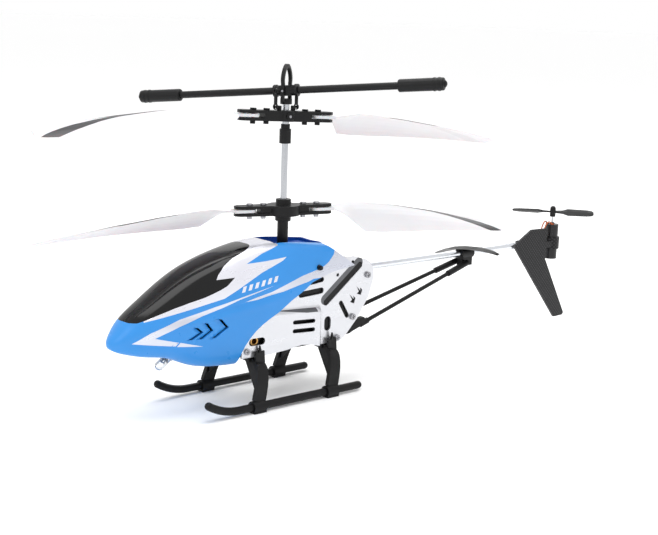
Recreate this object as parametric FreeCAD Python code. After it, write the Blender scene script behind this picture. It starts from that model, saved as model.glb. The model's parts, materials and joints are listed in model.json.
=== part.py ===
import FreeCAD, Part
import math
import os

# Coaxial toy helicopter, millimetres.
# The nose points to -Y, the port side to +X and up is +Z.
# The skids stand on z = 0.  Shapes are drawn around the rotor mast at x = 0, y = 0,
# and save() moves them by MAST_Y, so the whole model is centred over the origin.

V = FreeCAD.Vector
X_AXIS = V(1, 0, 0)
Y_AXIS = V(0, 1, 0)
Z_AXIS = V(0, 0, 1)

MAST_Y = -38.6

# rotors
ROTOR_R = 96.0
LOWER_HUB_Z = 71.5
UPPER_HUB_Z = 106.8
LOWER_AZIMUTH = 73.6
UPPER_AZIMUTH = 79.0
LOWER_DROOP = 10.0
UPPER_DROOP = 8.0
BLADE_PIVOT_R = 13.6
HEAD_BOLT_R = 8.1
HEAD_TIP_R = 19.6
GRIP_GAP = 1.7
GRIP_PLATE = 1.1
TONGUE = 1.1

# stabiliser bar over the upper rotor
FLYBAR_Z = 116.2
FLYBAR_AZIMUTH = 29.9
FLYBAR_HALF = 61.1
FLYBAR_TILT = 5.26
LINK_AZIMUTH = 98.0
LINK_R = 5.6
LINK_BALL_R = 0.5
FLYBAR_PIN_R = 0.4
HEAD_TILT = -2.0

# shafts and gears
OUTER_SHAFT_R = 2.1
OUTER_BORE_R = 1.3
INNER_SHAFT_R = 1.25
RUNNING_GAP = 0.05
GEAR_MODULE = 0.44
GEAR_TEETH = 36
PINION_TEETH = 9
GEAR_Y = GEAR_MODULE * (GEAR_TEETH + PINION_TEETH) / 2
LOWER_GEAR_Z = 35.0
UPPER_GEAR_Z = 39.5
GEAR_FACE = 2.0

# frame
PLATE_IN = 9.2
PLATE_OUT = 10.0
PANEL_OUT = 10.7
DECK_HALF = 9.1
LOWER_DECK_Z = 19.5
MOTOR_DECK_Z = 33.0
UPPER_DECK_Z = 50.4
DECK_T = 1.2
MOTOR_R = 3.5

# landing gear
SKID_X = 16.6
SKID_Z = 2.2
SKID_R = 1.5
FRONT_CLAMP_Y = -22.7
REAR_CLAMP_Y = 12.5
LEG_TOP_SHIFT = 4.4

# tail
BOOM_Z = 44.9
BOOM_R = 1.5
BOOM_START = 28.0
BOOM_END = 149.0
TAIL_MOTOR_Y = 159.0
TAIL_MOTOR_R = 3.0
TAIL_MOTOR_LOW = 36.9
TAIL_MOTOR_HIGH = 52.8
TAIL_HUB_Z = 58.5
TAIL_ROTOR_R = 16.0
TAIL_ROTOR_AZIMUTH = 42.0
STABILISER_Y = 101.5
STABILISER_ROLL = -8.5

# charging socket and switch
SOCKET_Y = -19.3
SOCKET_Z = 24.8
SOCKET_R = 1.15
SOCKET_LENGTH = 6.5
SWITCH_TRAVEL = 2.0


def box(x0, x1, y0, y1, z0, z1):
    return Part.makeBox(x1 - x0, y1 - y0, z1 - z0, V(x0, y0, z0))


def cyl(radius, start, direction, length):
    return Part.makeCylinder(radius, length, start, direction)


def rod(radius, start, end):
    return Part.makeCylinder(radius, (end - start).Length, start, end - start)


def ball(radius, centre):
    return Part.makeSphere(radius, centre)


def fuse(shapes):
    result = shapes[0]
    for shape in shapes[1:]:
        result = result.fuse(shape)
    return result.removeSplitter()


def cut(shape, tools):
    for tool in tools:
        shape = shape.cut(tool)
    return shape


def prism_x(points, x0, x1):
    """A side-view outline of (y, z) points, made solid between two x values."""
    wire = Part.makePolygon([V(x0, y, z) for y, z in points + points[:1]])
    return Part.Face(wire).extrude(V(x1 - x0, 0, 0))


def prism_z(points, z0, z1):
    """A plan-view outline of (x, y) points, made solid between two z values."""
    wire = Part.makePolygon([V(x, y, z0) for x, y in points + points[:1]])
    return Part.Face(wire).extrude(V(0, 0, z1 - z0))


def slot_x(y0, z0, y1, z1, width, x0, x1):
    """A round-ended slot between two side-view points, cut across from x0 to x1."""
    along = V(0, y1 - y0, z1 - z0)
    side = V(0, -along.z, along.y).normalize() * (width / 2)
    start = V(x0, y0, z0)
    corners = [start + side, start + along + side, start + along - side, start - side]
    depth = V(x1 - x0, 0, 0)
    bar = Part.Face(Part.makePolygon(corners + corners[:1])).extrude(depth)
    ends = [cyl(width / 2, p, X_AXIS, x1 - x0) for p in (start, start + along)]
    return fuse([bar] + ends)


def mirror_x(shape):
    return shape.mirror(V(0, 0, 0), X_AXIS)


def both_sides(shape):
    return [shape, mirror_x(shape)]


def turned(shape, degrees, centre=V(0, 0, 0), axis=Z_AXIS):
    result = shape.copy()
    result.rotate(centre, axis, degrees)
    return result


def spline(points):
    curve = Part.BSplineCurve()
    curve.interpolate(points)
    return curve.toShape()


def save(name, shapes):
    if not isinstance(shapes, list):
        shapes = [shapes]
    solids = [solid for shape in shapes for solid in shape.Solids]
    result = solids[0] if len(solids) == 1 else Part.makeCompound(solids)
    result = result.copy()
    result.translate(V(0, MAST_Y, 0))
    result.exportStep(os.path.join("parts", name + ".step"))


# ---------------------------------------------------------------- canopy

# Each section: y, then (x, z) round the port half from the belly to the crown.
CANOPY_SECTIONS = [
    (-76.2, [(0, 28.3), (0.9, 28.4), (1.4, 28.8), (1.6, 29.4), (1.3, 30.2), (0.8, 30.6), (0, 30.7)]),
    (-74.0, [(0, 27.0), (2.5, 27.2), (3.7, 28.4), (4.2, 30.2), (3.6, 32.1), (2.1, 33.2), (0, 33.6)]),
    (-70.0, [(0, 25.6), (4.0, 26.0), (6.0, 27.9), (6.8, 31.2), (6.2, 34.8), (3.9, 37.2), (0, 38.1)]),
    (-62.0, [(0, 23.8), (5.4, 24.3), (8.3, 27.2), (9.5, 32.4), (8.8, 38.2), (5.8, 42.2), (0, 43.7)]),
    (-54.0, [(0, 22.2), (6.3, 22.8), (9.9, 26.6), (11.3, 33.6), (10.4, 41.6), (6.8, 47.0), (0, 48.9)]),
    (-46.0, [(0, 18.9), (6.6, 19.5), (10.7, 24.6), (12.3, 34.9), (11.2, 45.0), (7.3, 51.3), (0, 53.2)]),
    (-36.0, [(0, 17.0), (7.0, 17.5), (11.2, 23.2), (13.0, 36.3), (11.8, 47.8), (7.7, 55.0), (0, 56.9)]),
    (-24.0, [(0, 16.3), (7.2, 16.8), (11.5, 22.6), (13.4, 37.8), (12.0, 50.0), (8.1, 58.0), (0, 59.6)]),
    (-12.0, [(0, 16.0), (7.2, 16.5), (11.5, 22.5), (13.5, 39.2), (12.1, 51.4), (8.5, 59.7), (0, 60.8)]),
    (0.0, [(0, 16.0), (7.2, 16.5), (11.5, 22.5), (13.4, 40.4), (12.1, 51.6), (8.9, 59.8), (0, 60.6)]),
    (13.0, [(0, 16.0), (7.2, 16.5), (11.5, 22.5), (13.1, 41.4), (12.0, 51.2), (9.4, 58.6), (0, 59.4)]),
    (29.0, [(0, 16.0), (7.2, 16.5), (11.5, 22.5), (12.6, 42.6), (11.9, 50.4), (10.0, 56.6), (0, 57.6)]),
]
CANOPY_STATIONS = 22
CANOPY_WALL = 1.0
WINDSCREEN_SKIN = 0.5

# Side-view line of the windscreen: front edge, lower edge, pointed tip, notch, rear edge.
WINDSCREEN_LINE = [
    (-78.0, 44.0), (-71.2, 37.0), (-68.0, 37.3), (-62.2, 39.6), (-55.1, 42.1), (-45.1, 45.1),
    (-38.0, 46.3), (-34.0, 47.8), (-30.4, 50.6), (-38.0, 50.4), (-33.4, 54.8), (-24.6, 58.4),
    (-14.6, 62.5),
    (-14.6, 70.0), (-78.0, 70.0),
]

# Side-view line of the canopy's open rear: roof end, slanted edge, rear corner, skirt.
CANOPY_REAR_LINE = [
    (11.5, 66.0), (11.5, 59.2), (26.6, 49.4), (11.1, 45.4), (0.6, 42.3), (-5.8, 39.2),
    (-11.2, 35.8), (-18.6, 32.0), (-24.0, 27.6), (-26.4, 22.6), (-27.0, 10.0), (60.0, 10.0),
    (60.0, 66.0),
]


def section_wire(y, half, inset):
    """The closed section curve at one station, moved inwards by inset."""
    loop = half + [(-x, z) for x, z in reversed(half[1:-1])]
    count = len(loop)
    points = []
    for index, (x, z) in enumerate(loop):
        before = loop[index - 1]
        after = loop[(index + 1) % count]
        tx, tz = after[0] - before[0], after[1] - before[1]
        size = math.hypot(tx, tz)
        points.append(V(x - inset * tz / size, y, z + inset * tx / size))
    curve = Part.BSplineCurve()
    curve.interpolate(Points=points, PeriodicFlag=True)
    return Part.Wire(curve.toShape())


def canopy_stations():
    """Evenly flowing sections between the nose and the rear, read from smooth lengthwise curves."""
    nose = CANOPY_SECTIONS[0][0]
    spread = [math.sqrt(y - nose + 0.2) for y, half in CANOPY_SECTIONS]
    curves = []
    for index in range(len(CANOPY_SECTIONS[0][1])):
        curve = Part.BSplineCurve()
        points = [V(half[index][0], y, half[index][1]) for y, half in CANOPY_SECTIONS]
        curve.interpolate(Points=points, Parameters=spread)
        curves.append(curve)
    stations = []
    for step in range(CANOPY_STATIONS):
        place = spread[0] + (spread[-1] - spread[0]) * step / (CANOPY_STATIONS - 1)
        points = [curve.value(place) for curve in curves]
        stations.append((points[0].y, [(p.x, p.z) for p in points]))
    return stations


def canopy_body(inset):
    wires = []
    for y, half in canopy_stations():
        if y < -75.5 and inset > 0:
            continue
        shift = inset if y < -73 else 0
        wires.append(section_wire(y + shift, half, inset))
    return Part.makeLoft(wires, True, False)


def canopy_parts():
    outer = canopy_body(0.0)
    shell = outer.cut(canopy_body(CANOPY_WALL))
    skin = outer.cut(canopy_body(WINDSCREEN_SKIN))
    rear = prism_x(CANOPY_REAR_LINE, -20, 20)
    window = prism_x(WINDSCREEN_LINE, -20, 20)
    # the roof is sunk a little between the shoulders and lets the mast through
    sunk = box(-7.0, 7.0, -9.5, 20, 58.9, 64)
    floor = box(-7.6, 7.6, -10.2, 10.8, 57.8, 58.8)
    mast_hole = cyl(2.7, V(0, 0, 50), Z_AXIS, 20)
    lamp_hole = cyl(1.85, LAMP_BASE - LAMP_WAY * 4, LAMP_WAY, 12)
    lamp_seat = cyl(2.65, LAMP_BASE - LAMP_WAY * 3.5, LAMP_WAY, 3.1)
    peg_hole = cyl(1.05, V(-20, PEG_Y, PEG_Z), X_AXIS, 40)
    shell = fuse([shell.cut(rear).cut(sunk), floor])
    shell = cut(shell, [window.common(skin), mast_hole, lamp_hole, lamp_seat, peg_hole])
    for corners in VENTS:
        shell = cut(shell, both_sides(chevron_vent(corners)))
    glazing = window.common(outer.cut(canopy_body(WINDSCREEN_SKIN - 0.04)))
    return shell.Solids, glazing.Solids


# Each cooling vent is an arrow pointing to the rear: its top, tip and lower end.
VENTS = [
    [(-46.8, 34.4), (-44.4, 32.4), (-48.6, 30.1)],
    [(-42.8, 35.6), (-40.3, 32.6), (-44.5, 30.0)],
    [(-37.1, 36.4), (-33.8, 33.0), (-39.1, 29.7)],
]
VENT_WIDTH = 0.9


def chevron_vent(corners):
    """An arrow-shaped slit cut through the canopy wall."""
    front = [(y - VENT_WIDTH, z) for y, z in reversed(corners)]
    return prism_x(corners + front, 6, 20)


PEG_Y = 8.5
PEG_Z = 50.3
LAMP_BASE = V(0, -51.6, 21.4)
LAMP_WAY = V(0, -0.8, -0.6)
LAMP_R = 1.7


def lamp_parts():
    tip = LAMP_BASE + LAMP_WAY * 4.2
    flange = cyl(2.1, LAMP_BASE - LAMP_WAY * 1.2, LAMP_WAY, 0.7)
    lens = fuse([flange, cyl(LAMP_R, LAMP_BASE - LAMP_WAY * 0.6, LAMP_WAY, 4.8), ball(LAMP_R, tip)])
    start = LAMP_BASE - LAMP_WAY * 3.4
    holder = cyl(2.6, start, LAMP_WAY, 2.1)
    return lens, holder


def canopy_pegs():
    peg = fuse([
        cyl(0.95, V(PLATE_OUT, PEG_Y, PEG_Z), X_AXIS, 3.2),
        cyl(0.75, V(PLATE_OUT + 3.2, PEG_Y, PEG_Z), X_AXIS, 0.5),
    ])
    return both_sides(peg)


# ---------------------------------------------------------------- side plates

PLATE_OUTLINE = [
    (-25.8, 19.1), (-13.4, 19.1), (-4.8, 19.8), (2.0, 20.8), (7.0, 20.1), (10.8, 19.2),
    (21.5, 19.2), (24.5, 20.6), (31.0, 27.4), (36.6, 35.6), (39.0, 43.0), (38.2, 47.0),
    (34.2, 50.6), (28.0, 52.4), (14.0, 52.0), (-2.0, 51.2), (-10.0, 48.6), (-17.0, 41.0),
    (-22.0, 33.0), (-25.8, 25.0),
]
# the lower front of the plate stands out as a pressed panel
PANEL_OUTLINE = [(-21.6, 19.6), (-4.8, 20.0), (2.0, 21.2), (7.0, 20.3), (11.2, 19.4), (11.2, 34.4),
                 (-6.5, 35.4), (-13.0, 31.6), (-18.6, 27.6)]
PLATE_SLOTS = [
    (1.8, 40.1, 11.8, 40.6, 2.4),
    (6.6, 44.4, 12.0, 44.9, 2.0),
    (-1.8, 30.0, 8.2, 29.5, 1.5),
    (-1.8, 26.6, 8.2, 26.1, 1.5),
    (15.5, 25.8, 15.5, 28.5, 2.6),
    (22.0, 34.4, 25.4, 29.0, 2.0),
]
RAIL_START = (14.4, 35.6)
RAIL_END = (31.2, 48.6)
PLATE_HOLES = [(27.5, 50.2, 0.7), (19.9, 45.8, 0.7)]
SCREW_SPOTS = [(-23.4, 21.6), (20.4, 20.8), (35.4, 44.2), (28.2, 28.2)]
HOOK_SPOTS = [(31.4, 38.6), (28.0, 35.6)]


def hook_slot(y, z):
    """A small V-shaped opening in the rear of the plate."""
    outline = [(y - 1.6, z + 1.8), (y + 0.6, z - 0.4), (y + 0.4, z + 1.0), (y + 1.6, z - 0.2),
               (y + 0.9, z - 2.2), (y - 1.2, z - 1.4), (y - 0.2, z - 0.6)]
    return prism_x(outline, PLATE_IN - 1, PANEL_OUT + 1)


def side_plate(window_y0, window_y1):
    plate = prism_x(PLATE_OUTLINE, PLATE_IN, PLATE_OUT)
    panel = prism_x(PANEL_OUTLINE, PLATE_IN, PANEL_OUT)
    ry0, rz0 = RAIL_START
    ry1, rz1 = RAIL_END
    flange = slot_x(ry0 - 1.3, rz0 + 1.7, ry1 - 1.3, rz1 + 1.7, 1.2, PLATE_OUT - 0.4, PANEL_OUT)
    shape = fuse([plate, panel, flange])
    tools = [slot_x(*slot, PLATE_IN - 1, PANEL_OUT + 1) for slot in PLATE_SLOTS]
    tools.append(slot_x(ry0, rz0, ry1, rz1, 2.6, PLATE_IN - 1, PANEL_OUT + 1))
    tools.append(slot_x(window_y0, SOCKET_Z, window_y1, SOCKET_Z, 2.8, PLATE_IN - 1, PANEL_OUT + 1))
    tools += [cyl(r, V(PLATE_IN - 1, y, z), X_AXIS, 3) for y, z, r in PLATE_HOLES]
    tools += [cyl(0.75, V(PLATE_IN - 1, y, z), X_AXIS, 3) for y, z in SCREW_SPOTS]
    tools += [hook_slot(y, z) for y, z in HOOK_SPOTS]
    return cut(shape, tools)


def cross_screw(y, z, seat, length):
    """A pan-head screw with a cross recess, its head standing on the plane x = seat."""
    head = cyl(1.25, V(seat, y, z), X_AXIS, 0.8)
    shank = cyl(0.68, V(seat - length, y, z), X_AXIS, length)
    bars = [box(seat + 0.4, seat + 2, y - 0.8, y + 0.8, z - 0.16, z + 0.16),
            box(seat + 0.4, seat + 2, y - 0.16, y + 0.16, z - 0.8, z + 0.8)]
    return cut(fuse([head, shank]), bars)


def plate_screws():
    screws = []
    for y, z in SCREW_SPOTS:
        screws += both_sides(cross_screw(y, z, PLATE_OUT, 3.6))
    return screws


def screw_pilots():
    pilots = []
    for y, z in SCREW_SPOTS:
        pilots += both_sides(cyl(0.7, V(PLATE_OUT - 4.0, y, z), X_AXIS, 5))
    return pilots


# ---------------------------------------------------------------- inner frame

def lower_deck():
    tongue = box(-5.2, 5.2, -40.0, -25.0, LOWER_DECK_Z, LOWER_DECK_Z + DECK_T)
    main = box(-DECK_HALF, DECK_HALF, -25.4, 24.0, LOWER_DECK_Z, LOWER_DECK_Z + DECK_T)
    shelf = box(-7.9, 7.9, -28.0, -25.0, LOWER_DECK_Z, LOWER_DECK_Z + DECK_T)
    solids = [tongue, shelf, main]
    # blocks that take the plate screws
    for y0, y1, top in ((-25.2, -22.3, 22.9), (18.6, 22.2, 22.4)):
        solids += both_sides(box(5.6, DECK_HALF, y0, y1, LOWER_DECK_Z, top))
    # rings that hold the motors' feet
    for y in (-GEAR_Y, GEAR_Y):
        ring = cyl(MOTOR_R + 0.9, V(0, y, LOWER_DECK_Z), Z_AXIS, 3.4)
        solids.append(ring)
    # posts that carry the circuit board
    solids += both_sides(box(6.3, 7.7, -27.6, -25.6, LOWER_DECK_Z, 30.2))
    wells = [cyl(MOTOR_R + 0.05, V(0, y, LOWER_DECK_Z + DECK_T), Z_AXIS, 5) for y in (-GEAR_Y, GEAR_Y)]
    vents = [box(-5, 5, y - 0.6, y + 0.6, 18, 19.5 + DECK_T + 0.1) for y in (-1.5, 1.5)]
    return cut(fuse(solids), wells + vents + screw_pilots())


def motor_deck():
    deck = box(-DECK_HALF, DECK_HALF, -15.5, 15.5, MOTOR_DECK_Z, MOTOR_DECK_Z + DECK_T)
    hub = cyl(2.6, V(0, 0, MOTOR_DECK_Z - 1.8), Z_AXIS, 3.0)
    holes = [cyl(1.3, V(0, y, MOTOR_DECK_Z - 1), Z_AXIS, 3) for y in (-GEAR_Y, GEAR_Y)]
    bush_seat = cyl(1.95, V(0, 0, MOTOR_DECK_Z - 2), Z_AXIS, 4)
    return cut(fuse([deck, hub]), holes + [bush_seat])


def upper_deck():
    z0 = UPPER_DECK_Z
    deck = box(-8.6, 8.6, -9.0, 30.0, z0 - DECK_T, z0)
    hub = cyl(4.2, V(0, 0, z0 - 2.4), Z_AXIS, 4.6)
    pads = both_sides(box(7.2, DECK_HALF, PEG_Y - 3, PEG_Y + 3, z0 - 3.4, z0))
    bush_seat = cyl(3.0, V(0, 0, z0 - 3), Z_AXIS, 6)
    return cut(fuse([deck, hub] + pads), [bush_seat])


def rear_frame():
    """The block that grips the boom, with the ribs that show through the plates' long slots."""
    ry0, rz0 = RAIL_START
    ry1, rz1 = RAIL_END
    block = box(-6.4, 6.4, 27.0, 38.0, 41.4, 48.4)
    rib = slot_x(ry0, rz0, ry1, rz1, 2.3, 7.2, PLATE_OUT - 0.2)
    strut = prism_x([(12.6, 34.6), (31.0, 41.4), (36.0, 41.4), (29.6, 26.2), (26.4, 26.2), (24.4, 33.0)],
                    6.4, 7.3)
    # the ribs join the block through side cheeks
    cheek = prism_x([(27.0, 41.4), (38.0, 41.4), (38.0, 48.4), (27.0, 48.4)], 6.2, DECK_HALF)
    boss = cyl(1.7, V(6.4, 28.2, 28.2), X_AXIS, DECK_HALF - 6.4)
    sides = both_sides(fuse([rib, strut, cheek, boss]))
    bore = cyl(BOOM_R + 0.02, V(0, BOOM_START, BOOM_Z), Y_AXIS, 20)
    clear = cyl(BOOM_R - 0.5, V(0, 20, BOOM_Z), Y_AXIS, 20)
    return cut(fuse([block] + sides), [bore, clear] + screw_pilots())


def motor_can(y):
    z0 = LOWER_DECK_Z + DECK_T
    can = cyl(MOTOR_R, V(0, y, z0), Z_AXIS, MOTOR_DECK_Z - z0)
    shoulder = cyl(1.2, V(0, y, MOTOR_DECK_Z), Z_AXIS, 0.6)
    bore = cyl(0.5 + RUNNING_GAP, V(0, y, 27), Z_AXIS, 10)
    seam = cyl(MOTOR_R + 1, V(0, y, z0 + 2.6), Z_AXIS, 0.4).cut(
        cyl(MOTOR_R - 0.25, V(0, y, z0 + 2.6), Z_AXIS, 0.4))
    return cut(fuse([can, shoulder]), [bore, seam])


def shaft_bushings():
    lower = cyl(1.93, V(0, 0, MOTOR_DECK_Z - 1.8), Z_AXIS, 3.0)
    lower = lower.cut(cyl(INNER_SHAFT_R + RUNNING_GAP, V(0, 0, 30), Z_AXIS, 6))
    upper = cyl(2.98, V(0, 0, UPPER_DECK_Z - 2.4), Z_AXIS, 4.6)
    upper = upper.cut(cyl(OUTER_SHAFT_R + RUNNING_GAP, V(0, 0, 45), Z_AXIS, 12))
    return [lower, upper]


def battery():
    z0 = LOWER_DECK_Z + DECK_T
    pack = box(-6.7, 6.7, -45.0, -28.2, z0, z0 + 7.6)
    return pack.makeFillet(1.2, [e for e in pack.Edges if abs(e.tangentAt(0).y) > 0.9])


def circuit_board():
    board = box(-7.6, 7.6, -49.0, -24.0, 30.2, 31.0)
    chips = [(-3.0, 3.0, -40.0, -34.0, 1.0), (3.6, 6.2, -47.5, -43.5, 1.4), (-6.4, -4.4, -46.0, -43.0, 0.8),
             (-6.2, -4.6, -36.0, -30.0, 0.8), (2.2, 6.4, -31.0, -26.0, 2.2), (-2.4, 0.2, -30.5, -27.0, 0.9)]
    return fuse([board] + [box(x0, x1, y0, y1, 31.0, 31.0 + h) for x0, x1, y0, y1, h in chips])


def charge_socket():
    inner = PLATE_IN - 0.3 - SOCKET_LENGTH
    housing = box(inner - 0.8, PLATE_IN - 0.2, SOCKET_Y - 2.3, SOCKET_Y + 2.3,
                  LOWER_DECK_Z + DECK_T, SOCKET_Z + 2.3)
    seat = cyl(1.72, V(inner, SOCKET_Y, SOCKET_Z), X_AXIS, 12)
    liner = cyl(1.7, V(inner, SOCKET_Y, SOCKET_Z), X_AXIS, PLATE_IN - 0.1 - inner)
    hole = cyl(SOCKET_R, V(PLATE_IN - 0.1 - SOCKET_LENGTH, SOCKET_Y, SOCKET_Z), X_AXIS, 12)
    return housing.cut(seat), liner.cut(hole)


def switch_parts():
    """The housing stands on the lower deck behind the starboard window."""
    y0, y1 = SOCKET_Y - 2.9, SOCKET_Y + 2.9
    housing = box(-PLATE_IN + 0.2, -4.6, y0, y1, LOWER_DECK_Z + DECK_T, SOCKET_Z + 2.0)
    track = box(-12, -6.0, SOCKET_Y - 2.2, SOCKET_Y + 2.2, SOCKET_Z - 1.1, SOCKET_Z + 1.1)
    knob_y = SOCKET_Y - SWITCH_TRAVEL / 2
    knob = fuse([
        box(-11.2, -6.3, knob_y - 0.8, knob_y + 0.8, SOCKET_Z - 0.8, SOCKET_Z + 0.8),
        box(-8.9, -6.3, knob_y - 0.9, knob_y + 0.9, SOCKET_Z - 0.8, SOCKET_Z + 0.8),
    ])
    grooves = [box(-12, -10.9, knob_y + s - 0.12, knob_y + s + 0.12, SOCKET_Z - 1, SOCKET_Z + 1)
               for s in (-0.4, 0, 0.4)]
    return housing.cut(track), cut(knob, grooves)


# ---------------------------------------------------------------- landing gear

def leg_band():
    """The curved strip of a leg seen from the front, from the deck out and down to the skid."""
    centre = [(7.2, 17.8), (10.0, 17.6), (12.8, 16.3), (14.8, 13.2), (15.9, 9.0), (16.5, 4.0)]
    half = 0.85
    outer, inner = [], []
    for index, (x, z) in enumerate(centre):
        x0, z0 = centre[max(index - 1, 0)]
        x1, z1 = centre[min(index + 1, len(centre) - 1)]
        size = math.hypot(x1 - x0, z1 - z0)
        nx, nz = -(z1 - z0) / size, (x1 - x0) / size
        outer.append(V(x + half * nx, 0, z + half * nz))
        inner.append(V(x - half * nx, 0, z - half * nz))
    inner.reverse()
    edges = [spline(outer), Part.makeLine(outer[-1], inner[0]), spline(inner),
             Part.makeLine(inner[-1], outer[0])]
    return Part.Face(Part.Wire(edges))


def leg(clamp_y):
    band = leg_band().extrude(V(0, 5.2, 0))
    lean = math.degrees(math.atan2(LEG_TOP_SHIFT, 16.0))
    band.translate(V(0, clamp_y - 2.6, 0))
    band = turned(band, -lean, V(0, clamp_y, SKID_Z), X_AXIS)
    top_y = clamp_y + LEG_TOP_SHIFT
    foot = box(4.6, 9.0, top_y - 3.2, top_y + 3.2, 17.2, LOWER_DECK_Z)
    gusset = Part.Face(Part.makePolygon([
        V(13.6, top_y - 2.9, 17.4), V(6.0, top_y - 2.9, 17.6), V(14.9, clamp_y - 0.2, 7.6),
        V(13.6, top_y - 2.9, 17.4)])).extrude(V(0, 1.0, 0))
    # a pointed ear laps up over the side plate
    ear = prism_x([(top_y - 2.3, 16.8), (top_y + 2.3, 16.8), (top_y + 1.9, 21.4), (top_y + 0.6, 20.9),
                   (top_y, 23.6), (top_y - 0.6, 20.9), (top_y - 1.9, 21.4)],
                  PANEL_OUT + 0.1, PANEL_OUT + 1.1)
    clamp = cyl(SKID_R + 0.8, V(SKID_X, clamp_y - 2.8, SKID_Z), Y_AXIS, 5.6)
    clamp = clamp.fuse(box(SKID_X - 1.9, SKID_X + 1.9, clamp_y - 2.8, clamp_y + 2.8, 0, SKID_Z))
    clamp = clamp.common(box(SKID_X - 5, SKID_X + 5, clamp_y - 5, clamp_y + 5, 0, 10))
    bore = cyl(SKID_R + 0.02, V(SKID_X, clamp_y - 6, SKID_Z), Y_AXIS, 12)
    return fuse([band, foot, gusset, ear, clamp]).cut(bore)


def skid_tube():
    straight_end = V(SKID_X, -31.0, SKID_Z)
    rear = V(SKID_X, 26.6, SKID_Z)
    bend = 26.0
    sweep = 32.0
    mid, tip = (V(SKID_X, straight_end.y - bend * math.sin(math.radians(a)),
                  SKID_Z + bend * (1 - math.cos(math.radians(a)))) for a in (sweep / 2, sweep))
    path = Part.Wire([Part.makeLine(rear, straight_end), Part.Arc(straight_end, mid, tip).toShape()])
    circle = Part.Wire(Part.makeCircle(SKID_R, rear, Y_AXIS))
    tube = path.makePipeShell([circle], True, False)
    return fuse([tube, ball(SKID_R, rear), ball(SKID_R, tip)])


# ---------------------------------------------------------------- tail

FIN_OUTLINE = [(130.6, 45.4), (142.2, 51.8), (152.4, 51.6), (152.8, 43.2), (152.0, 38.4),
               (168.4, 10.2), (167.6, 9.2), (161.6, 9.0)]
FIN_IN = 1.55
FIN_OUT = 2.75


def tail_boom():
    tube = cyl(BOOM_R, V(0, BOOM_START, BOOM_Z), Y_AXIS, BOOM_END - BOOM_START)
    return tube.cut(cyl(BOOM_R - 0.4, V(0, BOOM_START - 1, BOOM_Z), Y_AXIS, 200))


def tail_fin():
    plate = prism_x(FIN_OUTLINE, FIN_IN, FIN_OUT)
    sleeve = cyl(BOOM_R + 0.7, V(0, 136.0, BOOM_Z), Y_AXIS, 10.0)
    sleeve = sleeve.common(box(-5, FIN_IN + 0.2, 130, 150, 40, 50))
    arm = box(0.6, FIN_OUT, 150.0, TAIL_MOTOR_Y, 42.6, 45.4)
    clip = cyl(TAIL_MOTOR_R + 0.8, V(0, TAIL_MOTOR_Y, 41.6), Z_AXIS, 5.4)
    motor = cyl(TAIL_MOTOR_R + 0.02, V(0, TAIL_MOTOR_Y, 30), Z_AXIS, 40)
    bore = cyl(BOOM_R + 0.02, V(0, 120, BOOM_Z), Y_AXIS, BOOM_END - 120)
    mouth = box(-10, -1.2, TAIL_MOTOR_Y - 1.6, TAIL_MOTOR_Y + 1.6, 40, 50)
    return cut(fuse([plate, sleeve, arm, clip]), [motor, bore, mouth])


def tail_motor():
    height = TAIL_MOTOR_HIGH - TAIL_MOTOR_LOW
    can = cyl(TAIL_MOTOR_R, V(0, TAIL_MOTOR_Y, TAIL_MOTOR_LOW), Z_AXIS, height)
    nose = cyl(1.1, V(0, TAIL_MOTOR_Y, TAIL_MOTOR_HIGH), Z_AXIS, 0.8)
    bore = cyl(0.4 + RUNNING_GAP, V(0, TAIL_MOTOR_Y, TAIL_MOTOR_HIGH - 6), Z_AXIS, 10)
    return fuse([can, nose]).cut(bore)


def tail_leads():
    """Two bare copper tags and their wires from the boom's end up to the motor's top."""
    leads = []
    for side in (-1, 1):
        top = TAIL_MOTOR_HIGH + 0.5
        points = [V(0.6 * side, BOOM_END + 0.4, BOOM_Z + 0.2), V(0.6 * side, 151.2, 47.4),
                  V(0.9 * side, 153.4, 52.4), V(1.1 * side, 155.4, top + 0.9),
                  V(1.3 * side, 156.8, top + 0.2), V(1.4 * side, 157.3, top - 0.1)]
        path = Part.Wire(spline(points))
        start = Part.Wire(Part.makeCircle(0.3, points[0], points[1] - points[0]))
        wire = path.makePipeShell([start], True, True)
        tag = box(1.4 * side - 0.5, 1.4 * side + 0.5, 156.8, 158.0, TAIL_MOTOR_HIGH, TAIL_MOTOR_HIGH + 0.5)
        leads.append(fuse([wire, tag]))
    return leads


TAIL_BLADE_STATIONS = [
    # radius, chord, pitch
    (0.4, 1.8, 32), (4.4, 2.6, 32), (6.8, 5.0, 31), (15.4, 5.0, 28), (17.7, 4.2, 27), (18.5, 2.4, 26),
]


def tail_propeller():
    hub = cyl(1.3, V(0, 0, TAIL_HUB_Z - 2.2), Z_AXIS, 3.6)
    solids = [hub, ball(1.3, V(0, 0, TAIL_HUB_Z + 1.4))]
    for turn in (0, 180):
        wires = []
        for r, chord, pitch in TAIL_BLADE_STATIONS:
            points = []
            for along, up in ((-0.5, 0), (0, 0.35), (0.5, 0), (0, -0.35)):
                c, s = math.cos(math.radians(pitch)), math.sin(math.radians(pitch))
                a = along * chord
                points.append(V(r, a * c - up * s, TAIL_HUB_Z + a * s + up * c))
            wires.append(Part.makePolygon(points + points[:1]))
        blade = Part.makeLoft(wires, True, True)
        solids.append(turned(blade, turn))
    bore = cyl(0.4, V(0, 0, TAIL_HUB_Z - 3), Z_AXIS, 3.4)
    shape = turned(fuse(solids).cut(bore), TAIL_ROTOR_AZIMUTH)
    shape.translate(V(0, TAIL_MOTOR_Y, 0))
    return shape


def tail_motor_shaft():
    low = TAIL_MOTOR_HIGH - 5.6
    return cyl(0.4, V(0, TAIL_MOTOR_Y, low), Z_AXIS, TAIL_HUB_Z + 0.3 - low)


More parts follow.
